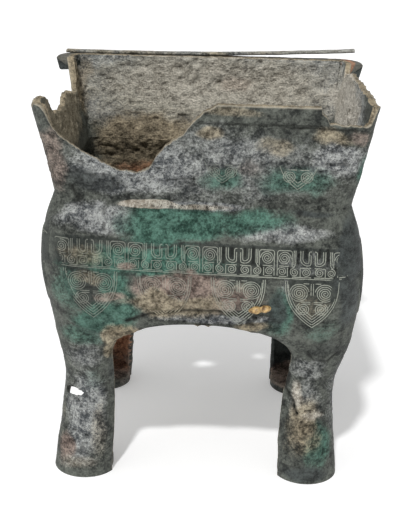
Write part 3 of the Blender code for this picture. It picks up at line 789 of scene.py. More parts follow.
FRONT_SCARS: tuple[Scar, ...] = (
    Scar(((75.0, 94.0),), 9.0, 1.6, 0.25),
    Scar(((66.0, 92.0), (70.0, 86.0), (79.0, 85.0), (85.0, 91.0)), 1.0, 0.7, 0.8),
    Scar(((-70.0, 150.0),), 12.0, 0.5, 0.1),
    Scar(((52.0, 81.0), (56.0, 72.0), (54.0, 62.0), (60.0, 54.0), (62.0, 47.0)), 1.3, 1.0, 1.0),
    Scar(((63.0, 74.0), (61.0, 62.0), (66.0, 52.0)), 1.6, -0.7),
    Scar(((-20.0, 198.2), (-10.0, 199.4), (-3.0, 199.0)), 0.7, 0.4, 0.8),
    Scar(((-76.0, 193.0), (-74.0, 187.0), (-71.0, 184.5)), 1.2, 0.8, 0.9),
    Scar(((48.0, 231.5), (60.0, 232.0), (72.0, 231.4), (86.0, 231.0)), 0.8, 0.7, 0.9),
    Scar(((-44.0, 111.0), (-28.0, 117.5), (-8.0, 120.0), (14.0, 120.0), (34.0, 116.0)), 1.3, 0.8, 1.0),
    Scar(((-64.0, 133.4), (-72.0, 132.6)), 1.1, 0.2, 0.7),
    Scar(((-90.0, 196.0), (-86.0, 205.0)), 1.0, 0.5, 0.6),
)


# -------------------- making meshes


def attribute_layer(mesh: bpy.types.Mesh, name: str, values: Points) -> None:
    """Stores one number per point under a name that the materials read."""
    layer = mesh.attributes.new(name, "FLOAT", "POINT")
    layer.data.foreach_set("value", np.ascontiguousarray(values, dtype=np.float32).ravel())


def publish(
    name: str,
    mesh: bpy.types.Mesh,
    material: bpy.types.Material,
    node: str = "vessel",
) -> bpy.types.Object:
    """Makes a finished mesh a piece of the model.

    Args:
        name: The piece's name.
        mesh: Its mesh, already in place.
        material: Its finish.
        node: The CAD node that it stands for.

    Returns:
        The new object.
    """
    mesh.materials.append(material)
    mesh.shade_smooth()
    mesh.set_sharp_from_angle(angle=math.radians(62))
    piece = bpy.data.objects.new(name, mesh)
    bpy.context.scene.collection.objects.link(piece)
    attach(piece, "root")
    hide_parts(node)
    LOG.info("%s: %d faces", name, len(mesh.polygons))
    return piece


def sheet_mesh(
    name: str, coords: Points, layers: dict[str, Points], shape: Optional[Callable[[bmesh.types.BMesh], None]] = None
) -> bpy.types.Mesh:
    """A mesh from a grid whose points are moved, with points that meet made one.

    Args:
        name: The mesh's name.
        coords: Rows by columns by three numbers.
        layers: One number per point under each name.
        shape: Further work on the mesh before its faces are turned outwards.

    Returns:
        The mesh, closed where its rows or columns meet.
    """
    rows, columns = coords.shape[:2]
    mesh = bpy.data.meshes.new(name)
    bm = bmesh.new()
    bmesh.ops.create_grid(bm, x_segments=columns - 1, y_segments=rows - 1, size=1.0)
    bm.to_mesh(mesh)
    bm.clear()
    mesh.vertices.foreach_set("co", np.ascontiguousarray(coords, dtype=np.float32).ravel())
    for key, values in layers.items():
        attribute_layer(mesh, key, values)
    bm.from_mesh(mesh)
    bmesh.ops.remove_doubles(bm, verts=bm.verts, dist=2e-6)
    bmesh.ops.dissolve_degenerate(bm, edges=bm.edges, dist=1e-6)
    if shape:
        shape(bm)
    bmesh.ops.recalc_face_normals(bm, faces=bm.faces)
    if bm.calc_volume(signed=True) < 0:
        bmesh.ops.reverse_faces(bm, faces=bm.faces)
    bm.to_mesh(mesh)
    bm.free()
    return mesh


def closed_shell(outer: Points, edge: Points, inner: Points, end_bulge: float = 0.0) -> Points:
    """Lays an outer face, its top edge and the inner face out as one grid that closes on itself.

    Args:
        outer: Rows from the bottom up, by columns.
        edge: The rows across the top.
        inner: Rows of the inner face from the bottom up, as many as of the outer face.
        end_bulge: How far the two free ends are rounded outwards.

    Returns:
        The grid, with a row and a column more at each end, where it closes at the middle of the wall.
    """
    rows = np.concatenate((outer, edge, inner[::-1]), axis=0)
    middle = (outer + inner) / 2
    partner = np.concatenate((middle, np.broadcast_to(middle[-1:], edge.shape), middle[::-1]), axis=0)
    left, right = partner[:, :1], partner[:, -1:]
    if end_bulge:
        left = left + end_bulge * unit(partner[:, :1] - partner[:, 1:2])
        right = right + end_bulge * unit(partner[:, -1:] - partner[:, -2:-1])
    rows = np.concatenate((left, rows, right), axis=1)
    foot = (rows[:1] + rows[-1:]) / 2
    return np.concatenate((foot, rows, foot), axis=0)


def padded_layer(outer: Points, edge: Points, inner: Points) -> Points:
    """Lays one number per point out like the grid of a closed shell."""
    return np.pad(np.concatenate((outer, edge, inner[::-1]), axis=0), 1, mode="edge")


def capped(tube: Points, ring: bool = False) -> Points:
    """Closes both ends of a tube that is laid out as a grid.

    Args:
        tube: Rows round the tube, with the last on the first, by columns along it.
        ring: Whether a ring lies halfway between each rim and the middle of its cap.

    Returns:
        The grid with one column more at each end, or with two.
    """
    rims = tube[:, :1], tube[:, -1:]
    left, right = (np.repeat(rim[:-1].mean(axis=0, keepdims=True), len(tube), axis=0) for rim in rims)
    if ring:
        tube = np.concatenate((rims[0] * 0.5 + left * 0.5, tube, rims[1] * 0.5 + right * 0.5), axis=1)
    return np.concatenate((left, tube, right), axis=1)


def shell_layers(
    outer: dict[str, Points], inner: dict[str, Points], edge_rows: int, edge_crust_and_highlight: float
) -> dict[str, Points]:
    """Joins the masks of the outer and the inner face, and marks the torn edge between them.

    Args:
        outer: The outer face's masks.
        inner: The inner face's masks.
        edge_rows: How many rows the edge has.
        edge_crust_and_highlight: How pale the edge is painted, as its own crust and a painted highlight along its
            top.

    Returns:
        The masks of the whole shell, with one more that is called edge: the torn edge's pale crust and painted
        highlight.
    """
    joined = {}
    for key, values in outer.items():
        across = np.linspace(0, 1, edge_rows)[:, None]
        edge = values[-1:] * (1 - across) + inner[key][-1:] * across
        joined[key] = padded_layer(values, edge, inner[key])
    nothing = np.zeros_like(outer["lime"])
    across = np.arange(edge_rows)[:, None] / edge_rows
    # The torn edge's top is painted pale, partly its own crust and partly a painted highlight; the outer face's top
    # row takes some of it.
    full = edge_crust_and_highlight * np.clip(1.0 - 2.4 * across, 0.0, 1.0) + nothing[:1]
    near = nothing.copy()
    near[-1] = 0.4 * edge_crust_and_highlight
    joined["edge"] = padded_layer(near, full, near * 0.0)
    broken = padded_layer(nothing, np.full_like(full, TORN_CRUST if edge_crust_and_highlight else 0.0), nothing)
    joined["cake"] = np.maximum(joined["cake"], broken)
    return joined


# -------------------- the walls


@dataclass
class WallPanel:
    """One side of the neck or of the belly, from the middle of a corner to the middle of the next."""

    side: Side
    level: Level
    columns: int
    rows: int
    patina: Patina
    casting: Casting = CASTING
    edge_rows: int = 7

    def heights(self) -> Points:
        """Heights of the panel's points, up to the torn edge on the neck.

        Returns:
            Rows by columns.
        """
        c = self.casting
        share = np.linspace(-1, 1, self.columns)[None, :]
        up = np.linspace(0, 1, self.rows)[:, None]
        if self.level is Level.BELLY:
            return c.apex + (c.waist - c.apex) * up + 0 * share
        top = np.full_like(share, c.rim)
        for _ in range(3):
            flat, _ = c.side_at(self.side, share, top)
            depth = torn_depth(flat[..., 0], flat[..., 1])
            top = c.rim - depth
        spots = c.settle(flat[..., 0], flat[..., 1], top)
        torn = smoothstep(0.0, 0.0012, depth)
        spots_level = spots * np.array([1.0, 1.0, 0.0])
        jag = 0.75 * rough(spots_level, 0.0042, 41) + 0.40 * grain(spots_level, 0.0013, 43)
        more, down = JAGS.get(self.side, (1.0, 0.0))
        jag = more * jag + down
        dip = 0.12 * rough(spots_level, 0.006, 47) - 0.10
        top = top + (torn * jag + (1 - torn) * dip) * MM
        return c.waist + (top - c.waist) * up

    def build(self, material: bpy.types.Material) -> bpy.types.Object:
        """Makes the panel.

        Args:
            material: The patina.

        Returns:
            The piece.
        """
        c = self.casting
        share = np.linspace(-1, 1, self.columns)[None, :]
        height = self.heights()
        flat, out = c.side_at(self.side, share, height)
        base = c.settle(flat[..., 0], flat[..., 1], height)
        out = np.concatenate((out, np.zeros(out.shape[:-1] + (1,))), axis=-1)
        across = self.across(base)
        masks, crust = self.patina.lay(base, OUTER_DEPOSITS, 51)
        lift, dark = self.relief(base, across, crust)
        thick = self.thickness(base, height)
        outer = base + out * lift[..., None]
        inner_base = base - out * thick[..., None]
        inner_masks, inner_lift = self.patina.lay(inner_base, INNER_DEPOSITS, 61, 2.2)
        # Inside, the painted relief shading is softer, and the face is painted lighter towards the top.
        inner_masks["rise"] = 0.28 + 0.50 * inner_masks["rise"] + 0.12 * smoothstep(0.160, 0.206, inner_base[..., 2])
        inner_masks["heavy"] = 0.35 * inner_masks["heavy"]
        inner = inner_base - out * inner_lift[..., None]
        masks["pit"] = np.clip(masks["pit"] + dark, 0, 1.2)
        masks["ground"] = self.ornament_ground(across, height)
        edge_share = np.linspace(0.06, 0.94, self.edge_rows)[:, None, None]
        bulge = 0.35 * MM * np.sin(np.pi * edge_share) * np.array([0.0, 0.0, 1.0])
        edge = outer[-1:] * (1 - edge_share) + inner[-1:] * edge_share + bulge
        if self.level is Level.NECK:
            edge = edge + np.array([0.0, 0.0, 0.60 * MM]) * rough(edge, 0.0026, 71, 3)[..., None]
        coords = closed_shell(outer, edge, inner)
        # How pale the torn edge is painted: its crust and a painted highlight.
        pale = EDGE_CRUST_AND_HIGHLIGHT[self.side] if self.level is Level.NECK else 0.0
        layers = shell_layers(masks, inner_masks, self.edge_rows, pale)
        name = f"{self.level.value}_{self.side.name.lower()}"
        return publish(name, sheet_mesh(name, coords, layers), material)

    def across(self, base: Points) -> Points:
        """Distance across the side of each settled place."""
        x, y = base[..., 0], base[..., 1] - self.casting.middle_y
        return {Side.FRONT: x, Side.RIGHT: y, Side.BACK: -x, Side.LEFT: -y}[self.side]

    def thickness(self, base: Points, height: Points) -> Points:
        """Thickness of the wall, which grows towards the lip and at the broken front left corner.

        Args:
            base: Places on the face.
            height: Their height in the even shape.

        Returns:
            The thickness at each place.
        """
        c = self.casting
        swell = c.lip_swell * np.clip((height - c.rim + c.swell_reach) / c.swell_reach, 0.0, 1.0)
        lipped = smoothstep(-0.004, 0.004, base[..., 0]) * smoothstep(0.0700, 0.0640, np.abs(base[..., 0] - 0.0340))
        if self.side is Side.FRONT:
            swell = swell * lipped
        elif self.side in (Side.LEFT, Side.RIGHT):
            swell = swell * 0.35
        stub = np.linalg.norm((base - (-0.094, -0.088, 0.243)) / (0.009, 0.012, 0.019), axis=-1)
        thick = c.wall + swell + 0.0030 * (1 - smoothstep(0.2, 1.4, stub))
        if self.side is Side.FRONT:
            past = Scar(((-30.0, 203.0), (-14.0, 222.0), (-2.0, 236.0)), 7.0, 0.0).reach(base[..., 0], base[..., 2])
            thick = thick + 0.0042 * np.exp(-((past / 7.0) ** 2))
        return thick

    def relief(self, base: Points, across: Points, crust: Points) -> tuple[Points, Points]:
        """Everything that stands off the even face or is sunk in it.

        Args:
            base: Places on the face.
            across: Their distance across the side.
            crust: How far the crust stands off there.

        Returns:
            The height off the face, in metres, and how dark the scars are, with the painted shade of the band's slots
            and of the groove under the front lip.
        """
        c = self.casting
        height = base[..., 2]
        lift = crust.copy()
        dark = np.zeros_like(height)
        if self.level is Level.BELLY:
            lift = lift * 0.75
            above = smoothstep(c.band_bottom - 4e-4, c.band_bottom + 4e-4, height)
            lift += c.band_relief * above * smoothstep(c.band_top + 4e-4, c.band_top - 4e-4, height)
            lift += c.blade_relief * self.blade_ground(across, height)
            slots = self.band_slots(across, height)
            if self.side is Side.FRONT:
                slots = slots * np.interp(across, (-0.08, -0.02, 0.03), (0.35, 0.75, 1.0))
            else:
                slots = slots * 0.25
            # The slots are sunk and also painted dark: painted shade in them.
            lift -= 0.0008 * slots
            dark += 0.8 * slots
            lift *= 0.25 + 0.75 * smoothstep(c.apex - 0.0005, c.apex + 0.0012, height)
        if self.side is Side.FRONT:
            for scar in FRONT_SCARS:
                near = np.exp(-((scar.reach(across, height) / scar.width) ** 2))
                lift -= scar.depth * MM * near
                dark += scar.dark * near
            lip = smoothstep(-0.006, 0.000, across) * smoothstep(0.0668, 0.0655, across)
            low = c.rim - c.lip_height
            lift += c.front_overhang * lip * smoothstep(low - 3e-4, low + 3e-4, height)
            # A small groove under the lip's lower edge, sunk and painted dark: a painted shadow under the lip's
            # overhang.
            groove_with_painted_shadow = np.exp(-(((height - low + 7e-4) / 5e-4) ** 2)) * lip
            lift -= 4e-4 * groove_with_painted_shadow
            dark += 0.7 * groove_with_painted_shadow
        return lift, dark

    def blade_ground(self, across: Points, height: Points) -> Points:
        """Where the hanging blades lie.

        Args:
            across: Distance across the side.
            height: Above the ground.

        Returns:
            From 0 to 1 for each place.
        """
        c = self.casting
        pitch = self.pitch()
        slot = np.clip(np.round(across / pitch - 0.5), -2, 1) + 0.5
        u = np.abs(across - slot * pitch)
        share = (c.band_bottom - c.blade_drop - height) / c.blade_length
        half = c.blade_width / 2 * (1 - np.clip(share, 0, 1) ** c.blade_power)
        inside = smoothstep(half + 3e-4, half - 3e-4, u)
        return inside * smoothstep(-0.01, 0.01, share) * smoothstep(1.0, 0.98, share)

    def band_slots(self, across: Points, height: Points) -> Points:
        """Where the deep slots between the dragons' limbs are.

        Args:
            across: Distance across the side.
            height: Above the ground.

        Returns:
            From 0 to 1 for each place.
        """
        c = self.casting
        half = self.pitch() / 2
        part = np.abs(across) / half
        start = part - np.floor(part)
        start = np.where((np.floor(part) % 2 > 0) ^ (across < 0), 1 - start, start) * half
        up = height - c.band_bottom
        found = np.zeros_like(height)
        for middle, low, high, width in BAND_SLOTS:
            inside = smoothstep(width / 2 + 0.4, width / 2 - 0.2, np.abs(start / MM - middle))
            above = smoothstep(low - 0.4, low + 0.3, up / MM)
            found = np.maximum(found, inside * above * smoothstep(high + 0.4, high - 0.3, up / MM))
        return found * (np.abs(across) < 0.088)

    def pitch(self) -> float:
        """Distance between the blades' middles."""
        return self.casting.pitch(self.side)

    def ornament_ground(self, across: Points, height: Points) -> Points:
        """Where the ground between the ornament's lines is dark.

        Args:
            across: Distance across the side.
            height: Above the ground.

        Returns:
            From 0 to 1 for each place.
        """
        c = self.casting
        if self.level is Level.NECK:
            return np.zeros_like(height)
        band = smoothstep(c.band_bottom - 6e-4, c.band_bottom, height)
        band = band * smoothstep(c.band_top + 6e-4, c.band_top, height)
        return np.maximum(band, self.blade_ground(across, height)) * smoothstep(0.092, 0.084, np.abs(across))


# -------------------- the legs


@dataclass
class Leg:
    """One hip and leg: a quarter of the body below the belly that curls round into a half tube."""

    right: bool
    back: bool
    columns: int
    hip_rows: int
    shin_rows: int
    patina: Patina
    casting: Casting = CASTING
    # The hole in the front left leg: x, z, length, width and tilt. It runs back along the photograph's line of
    # sight, from the face at hole_front, and ends before hole_back. Within hole_calm of it the crust is low.
    hole: tuple[float, float, float, float, float] = (-0.0779, 0.0573, 0.0124, 0.0066, -27.0)
    hole_front: float = -0.0757
    hole_back: float = -0.0640
    hole_calm: float = 0.0130
    sight: tuple[float, float] = (0.15, 0.52)

    def base(self) -> Points:
        """Lays out the leg's outer face.

        Returns:
            Its settled places from the ground up, rows by columns.
        """
        c = self.casting
        column = np.linspace(0, 14, self.columns)[None, :]
        share = np.linspace(1, 0, self.hip_rows)[:, None]
        reach = c.leg_radius(np.array(c.ankle)) * (1 - math.cos(math.radians(45 + c.leg_wrap)))
        front_span = c.half_width(np.array(c.ankle)) - reach
        side_span = c.half_depth(np.array(c.ankle)) - reach
        turn = share * np.pi / 2
        bend = np.sin(turn) ** 0.78
        edge_height = c.ankle + (c.apex - c.ankle) * np.cos(turn) ** 0.95
        corner_height = c.apex + (c.ankle - c.apex) * share
        side = np.abs(2 * column / 14 - 1) ** 1.5
        height = corner_height + (edge_height - corner_height) * side
        curled = (share * share * (3 - 2 * share))[..., None]
        flat = c.quarter(height, column + 0 * height, front_span * bend, side_span * bend, 0.0)
        bitten = 0.0 if self.right or self.back else 1.0
        curl = c.leg_round(height, column, bitten)
        hip = flat + (curl - flat) * curled
        low = np.linspace(0, c.ankle, self.shin_rows)[:-1, None] + 0 * column
        shin = c.leg_round(low, column, bitten)
        spots = np.concatenate((shin, hip), axis=0)
        heights = np.concatenate((low, height), axis=0)
        sign_x, sign_y = (1 if self.right else -1), (1 if self.back else -1)
        return c.settle(sign_x * spots[..., 0], sign_y * spots[..., 1], heights)

    def outward(self, base: Points) -> Points:
        """Finds the direction out of the face, level at the ground and where the leg meets the belly.

        Args:
            base: The leg's outer face.

        Returns:
            One arrow for each place.
        """
        along = np.gradient(base, axis=1)
        up = np.gradient(base, axis=0)
        out = np.cross(along, up)
        if self.right == self.back:
            out = -out
        facing = np.array([1.0 if self.right else -1.0, 1.0 if self.back else -1.0, 0.0])
        if (out[out.shape[0] // 2, out.shape[1] // 2] * facing).sum() < 0:
            out = -out
        out = unit(out, 1e-12)
        level = unit(out * np.array([1.0, 1.0, 0.0]), 1e-12)
        rows = base.shape[0]
        hip = np.arange(rows) - (self.shin_rows - 1)
        full = np.clip((self.hip_rows - 1 - hip) / (0.35 * self.hip_rows), 0, 1)
        full = (full * (hip >= 0) * smoothstep(0, 0.25 * self.hip_rows, hip.astype(float)))[:, None, None]
        return unit(level * (1 - full) + out * full, 1e-12)

    def cut_hole(self, bm: bmesh.types.BMesh) -> None:
        """Cuts the corroded hole through the wall and joins its two rims.

        Args:
            bm: The leg's mesh, closed so far.
        """
        x0, z0, length, width, tilt = self.hole
        turn = math.radians(tilt)

        def reach(vert: bmesh.types.BMVert) -> float:
            """Measures how far a point is from the hole's middle.

            Args:
                vert: The point.

            Returns:
                The distance, 1 on the hole's rim.
            """
            behind = vert.co.y - self.hole_front
            dx, dz = vert.co.x + self.sight[0] * behind - x0, vert.co.z + self.sight[1] * behind - z0
            u = dx * math.cos(turn) + dz * math.sin(turn)
            v = -dx * math.sin(turn) + dz * math.cos(turn)
            ragged = 1 + 0.10 * math.sin(3 * math.atan2(v, u) + 1.0) + 0.06 * math.sin(5 * math.atan2(v, u))
            return math.hypot(u / (length / 2), v / (width / 2)) / ragged

        gone = [f for f in bm.faces if all(v.co.y < self.hole_back and reach(v) < 1.0 for v in f.verts)]
        while gone:
            bmesh.ops.delete(bm, geom=gone, context="FACES")
            pinched = [v for v in bm.verts if sum(len(e.link_faces) == 1 for e in v.link_edges) > 2]
            gone = list({f for v in pinched for f in v.link_faces})
        # A small gap beside a rim would be taken for a third rim, so it is filled first.
        bmesh.ops.holes_fill(bm, edges=[e for e in bm.edges if len(e.link_faces) == 1], sides=12)
        rims = [e for e in bm.edges if len(e.link_faces) == 1]
        LOG.info("hole in the leg: %d rim edges", len(rims))
        bmesh.ops.bridge_loops(bm, edges=rims)

    def build(self, material: bpy.types.Material) -> bpy.types.Object:
        """Makes the leg.

        Args:
            material: The patina.

        Returns:
            The piece.
        """
        c = self.casting
        base = self.base()
        out = self.outward(base)
        masks, lift = self.patina.lay(base, OUTER_DEPOSITS, 51)
        inner_base = base - out * c.wall
        inner_masks, inner_lift = self.patina.lay(inner_base, HOLLOW_DEPOSITS, 61)
        dark = np.zeros(lift.shape)
        if not self.back:
            for scar in FRONT_SCARS:
                near = np.exp(-((scar.reach(base[..., 0], base[..., 2]) / scar.width) ** 2))
                lift -= scar.depth * MM * near
                dark += scar.dark * near
        lift *= smoothstep(-0.0002, 0.0015, base[..., 2]) * 0.85 + 0.15
        x0, z0 = self.hole[:2]
        calm = 1 - 0.7 * np.exp(-((np.hypot(base[..., 0] - x0, base[..., 2] - z0) / self.hole_calm) ** 4))
        lift, inner_lift = lift * calm, inner_lift * calm
        top = smoothstep(c.apex + 0.0004, c.apex - 0.0030, base[..., 2])
        lift = lift * (0.25 + 0.75 * np.maximum(top, 0.0))
        outer = base + out * lift[..., None]
        inner = inner_base - out * (0.6 * inner_lift * smoothstep(-0.0002, 0.0015, base[..., 2]))[..., None]
        for face in (outer, inner):
            face[0, :, 2] = 0.0
            face[..., 2] = np.maximum(face[..., 2], 0.0)
        masks["pit"] = np.clip(masks["pit"] + dark, 0, 1.2)
        edge_share = np.linspace(0.2, 0.8, 2)[:, None, None]
        edge = outer[-1:] * (1 - edge_share) + inner[-1:] * edge_share
        coords = closed_shell(outer, edge, inner, 0.0007)
        layers = shell_layers(masks, inner_masks, 2, 0.0)
        for ends in (np.s_[:, :2], np.s_[:, -2:]):
            layers["edge"][ends] = 0.0 if self.back else 0.30
            layers["cake"][ends] = 0.2 if self.back else 0.8
        name = f"leg_{'back' if self.back else 'front'}_{'right' if self.right else 'left'}"
        shape = self.cut_hole if not (self.right or self.back) else None
        return publish(name, sheet_mesh(name, coords, layers, shape), material)


@dataclass
class Sole:
    """The solid sole that closes the foot of one leg, higher on its outer side."""

    right: bool
    back: bool
    patina: Patina
    casting: Casting = CASTING
    height: float = 0.0090
    slope: float = 0.1200
    setback: float = 0.1200
    columns: int = 97

    def build(self, material: bpy.types.Material) -> bpy.types.Object:
        """Makes the sole.

        Args:
            material: The patina.

        Returns:
            The piece.
        """
        c = self.casting
        profile = (
            (0.0, 0.0), (0.4, 0.0), (0.8, 0.0), (0.965, 0.0), (1.0, 0.06), (1.004, 0.3), (1.0, 0.6), (0.998, 0.85),
            (0.985, 0.95), (0.95, 1.0), (0.85, 1.01), (0.6, 0.99), (0.3, 1.0), (0.0, 0.99),
        )
        size = np.array([[u] for u, _ in profile])
        level = np.array([[v] for _, v in profile])
        turn = np.linspace(0, 2 * np.pi, self.columns)[None, :]
        height = level * self.height
        radius = c.leg_radius(height) - c.wall / 2
        inward = np.maximum(0.0, -(np.cos(turn) + np.sin(turn)) / math.sqrt(2))
        u = size * radius * np.cos(turn) * (1 - self.setback * inward)
        v = size * radius * np.sin(turn) * (1 - self.setback * inward)
        sign_x, sign_y = (1 if self.right else -1), (1 if self.back else -1)
        x = sign_x * (c.half_width(height) - c.leg_radius(height) + u)
        y = sign_y * (c.half_depth(height) - c.leg_radius(height) + v)
        base = c.settle(x, y, height + self.slope * (u + v) * smoothstep(0.0, 1.0, level))
        base[:, -1] = base[:, 0]
        name = f"sole_{'back' if self.back else 'front'}_{'right' if self.right else 'left'}"
        masks, crust = self.patina.lay(base, HOLLOW_DEPOSITS, 51)
        # A pale ring round the sole's top rim: a painted highlight where its edge catches the light.
        masks["edge"] = np.broadcast_to(np.exp(-(((level - 0.97) / 0.08) ** 2)) * (size > 0.9) * 0.2, base.shape[:-1])
        bumps = crust * smoothstep(0.3, 0.8, level) * 0.8
        outwards = unit((base - base.mean(axis=(0, 1))) * np.array([1.0, 1.0, 0.3]))
        base = base + outwards * (bumps * (size > 0.01))[..., None]
        base[..., 2] = np.maximum(base[..., 2], 0.0)
        return publish(name, sheet_mesh(name, base, masks), material)


# -------------------- the floor of the bowl


@dataclass
class BowlFloor:
    """The thin floor, lower over the legs, with three corroded holes."""

    patina: Patina
    casting: Casting = CASTING
    thickness: float = 0.0032
    bag: float = 0.0080
    above_arch: float = 0.0016
    cells: int = 90
    holes: tuple[tuple[float, float, float, float, float], ...] = (
        (-0.0180, 0.0120, 0.0170, 0.0110, 12.0),
        (-0.0240, -0.0230, 0.0110, 0.0080, -30.0),
        (0.0260, 0.0300, 0.0090, 0.0070, 50.0),
    )

    def open_holes(self, bm: bmesh.types.BMesh) -> None:
        """Takes out the faces of each hole and gives the sheet its thickness.

        Args:
            bm: The flat sheet.
        """
        gone = []
        for face in bm.faces:
            middle = face.calc_center_median()
            for x, y, length, width, tilt in self.holes:
                turn = math.radians(tilt)
                dx, dy = middle.x - x, middle.y - y
                u = dx * math.cos(turn) + dy * math.sin(turn)
                v = -dx * math.sin(turn) + dy * math.cos(turn)
                around = math.atan2(v, u)
                ragged = 1 + 0.14 * math.sin(3 * around + x * 900) + 0.09 * math.sin(7 * around)
                if math.hypot(u / (length / 2), v / (width / 2)) < ragged:
                    gone.append(face)
                    break
        bmesh.ops.delete(bm, geom=gone, context="FACES")
        bmesh.ops.recalc_face_normals(bm, faces=bm.faces)
        bm.faces.ensure_lookup_table()
        if bm.faces[0].normal.z > 0:
            bmesh.ops.reverse_faces(bm, faces=bm.faces)
        bmesh.ops.solidify(bm, geom=bm.faces[:], thickness=self.thickness)

    def build(self, material: bpy.types.Material) -> bpy.types.Object:
        """Makes the floor.

        Args:
            material: The patina.

        Returns:
            The piece.
        """
        c = self.casting
        level = c.apex + self.above_arch
        a = float(c.half_width(np.array(level))) - c.wall / 2
        b = a - c.shortfall
        r = float(c.corner(np.array(level))) - c.wall / 2
        across = np.linspace(-a, a, self.cells + 1)[None, :]
        deep = np.linspace(-b, b, self.cells + 1)[:, None]
        past_x = np.clip((np.abs(across) - (a - r)) / r, 0, 1)
        past_y = np.clip((np.abs(deep) - (b - r)) / r, 0, 1)
        x = np.sign(across) * (np.minimum(np.abs(across), a - r) + r * past_x * np.sqrt(1 - past_y**2 / 2))
        y = np.sign(deep) * (np.minimum(np.abs(deep), b - r) + r * past_y * np.sqrt(1 - past_x**2 / 2))
        drop = self.bag * (x / a) ** 2 * (y / b) ** 2
        base = c.settle(x, y, level - drop)
        masks, crust = self.patina.lay(base, INNER_DEPOSITS, 61, 1.5)
        masks["edge"] = np.zeros(x.shape)
        base[..., 2] += crust
        return publish("bowl_floor", sheet_mesh("bowl_floor", base, masks, self.open_holes), material)


# -------------------- the lip of the back wall


@dataclass
class BackLip:
    """The thick lip along the back, which runs a little way round both corners."""

    patina: Patina
    casting: Casting = CASTING
    lip_return: float = 0.0030
    sunk: float = 0.0022
    columns: int = 330

    def section(self) -> Points:
        """Works out the lip's closed outline, with its corners eased.

        Returns:
            Points as (height, distance outside the body).
        """
        c = self.casting
        low = c.rim - c.lip_height
        corners = np.array([
            (c.rim - c.swell_reach, -c.wall / 2),
            (low + 0.0004, -c.wall / 2),
            (low, c.lip_overhang - c.wall / 4),
            (c.rim, c.lip_overhang),
            (c.rim, -c.wall - c.lip_swell + self.sunk),
        ])
        points = []
        for start, end in zip(corners, np.roll(corners, -1, axis=0)):
            steps = max(2, int(np.linalg.norm(end - start) / 0.0010))
            points += [start + (end - start) * (i + 0.5) / steps for i in range(steps)]
        points = np.array(points)
        points = (np.roll(points, 1, axis=0) + 2 * points + np.roll(points, -1, axis=0)) / 4
        return np.concatenate((points, points[:1]), axis=0)

    def build(self, material: bpy.types.Material) -> bpy.types.Object:
        """Makes the lip.

        Args:
            material: The patina.

        Returns:
            The piece.
        """
        c = self.casting
        section = self.section()
        lowest = np.array([c.rim - c.swell_reach, c.rim - c.lip_height, c.rim])
        side_y = float((c.half_depth(lowest) - c.corner(lowest)).min()) - self.lip_return
        path = np.linspace(-14, 14, self.columns)[None, :]
        height = section[:, :1] + 0 * path
        flat = c.quarter(height, np.abs(path) + 0 * height, 0.0, side_y, section[:, 1:2] + 0 * path)
        base = c.settle(np.sign(path) * flat[..., 0], flat[..., 1], height)
        outwards = unit(base - base[:-1].mean(axis=0, keepdims=True))
        masks, crust = self.patina.lay(base, LIP_DEPOSITS, 81)
        masks["edge"] = 0.25 * smoothstep(c.rim - 0.0016, c.rim - 0.0004, base[..., 2])
        lift = 0.7 * crust - 0.20 * MM
        coords = base + outwards * lift[..., None]
        coords[-1] = coords[0]
        coords = capped(coords, True)
        layers = {key: np.pad(values, ((0, 0), (2, 2)), mode="edge") for key, values in masks.items()}
        return publish("back_lip", sheet_mesh("back_lip", coords, layers), material)


@dataclass
class SplitStrip:
    """The split top of the back lip: a thin strip whose right end has sprung free."""

    patina: Patina
    casting: Casting = CASTING
    thickness: float = 0.0019
    depth: float = 0.0075
    half_length: float = 0.1030
    rise: float = 0.0052
    columns: int = 220

    def build(self, material: bpy.types.Material) -> bpy.types.Object:
        """Makes the strip.

        Args:
            material: The patina.

        Returns:
            The piece.
        """
        c = self.casting
        outer_y = float(c.half_depth(np.array(c.rim))) + c.lip_overhang
        x = np.linspace(-self.half_length, self.half_length, self.columns)[None, :]
        lift = self.rise * np.maximum(0.0, (x + self.half_length / 2) / (1.5 * self.half_length)) ** 2
        steps = (
            (0.0, 0.15), (0.04, 0.0), (0.3, 0.0), (0.7, 0.0), (0.96, 0.0), (1.0, 0.15), (1.0, 0.5), (1.0, 0.85),
            (0.96, 1.0), (0.7, 1.0), (0.5, 1.0), (0.3, 1.0), (0.04, 1.0), (0.0, 0.85), (0.0, 0.5), (0.0, 0.15),
        )
        back = np.array([[u] for u, _ in steps])
        up = np.array([[v] for _, v in steps])
        inner_y = outer_y - self.depth
        spot = np.stack(np.broadcast_arrays(x, 0 * x, 0 * x), axis=-1)
        wander = 0.5 * MM * rough(spot, 0.012, 91)
        y = inner_y + (outer_y - c.wall / 4 - inner_y) * back + wander * (1 - back)
        z = c.rim + lift + self.thickness * up - 0.1 * MM + 0.25 * MM * rough(spot + 0.2, 0.018, 93)
        base = c.settle(x + 0 * back, y + 0 * x, z + 0 * back)
        base[-1] = base[0]
        masks, crust = self.patina.lay(base, (), 95)
        masks["lime"] = 0.55 + 0.30 * rough(base, 0.020, 97)
        masks["earth"] = 0.45 + 0.5 * rough(base, 0.016, 99)
        # The strip's underside and lower sides are painted nearly black: a painted shadow in the gap beneath it.
        masks["pit"] = np.maximum(0.6 * masks["pit"], 0.95 * (up < 0.4))
        # The strip's free right part is painted paler: a painted highlight.
        masks["edge"] = 0.30 * smoothstep(0.02, 0.06, base[..., 0])
        base = base + np.array([0.0, 0.0, 1.0]) * (0.6 * crust * (up - 0.5))[..., None]
        layers = {key: np.pad(values, ((0, 0), (1, 1)), mode="edge") for key, values in masks.items()}
        return publish("lip_strip", sheet_mesh("lip_strip", capped(base), layers), material)


# -------------------- cast ornament


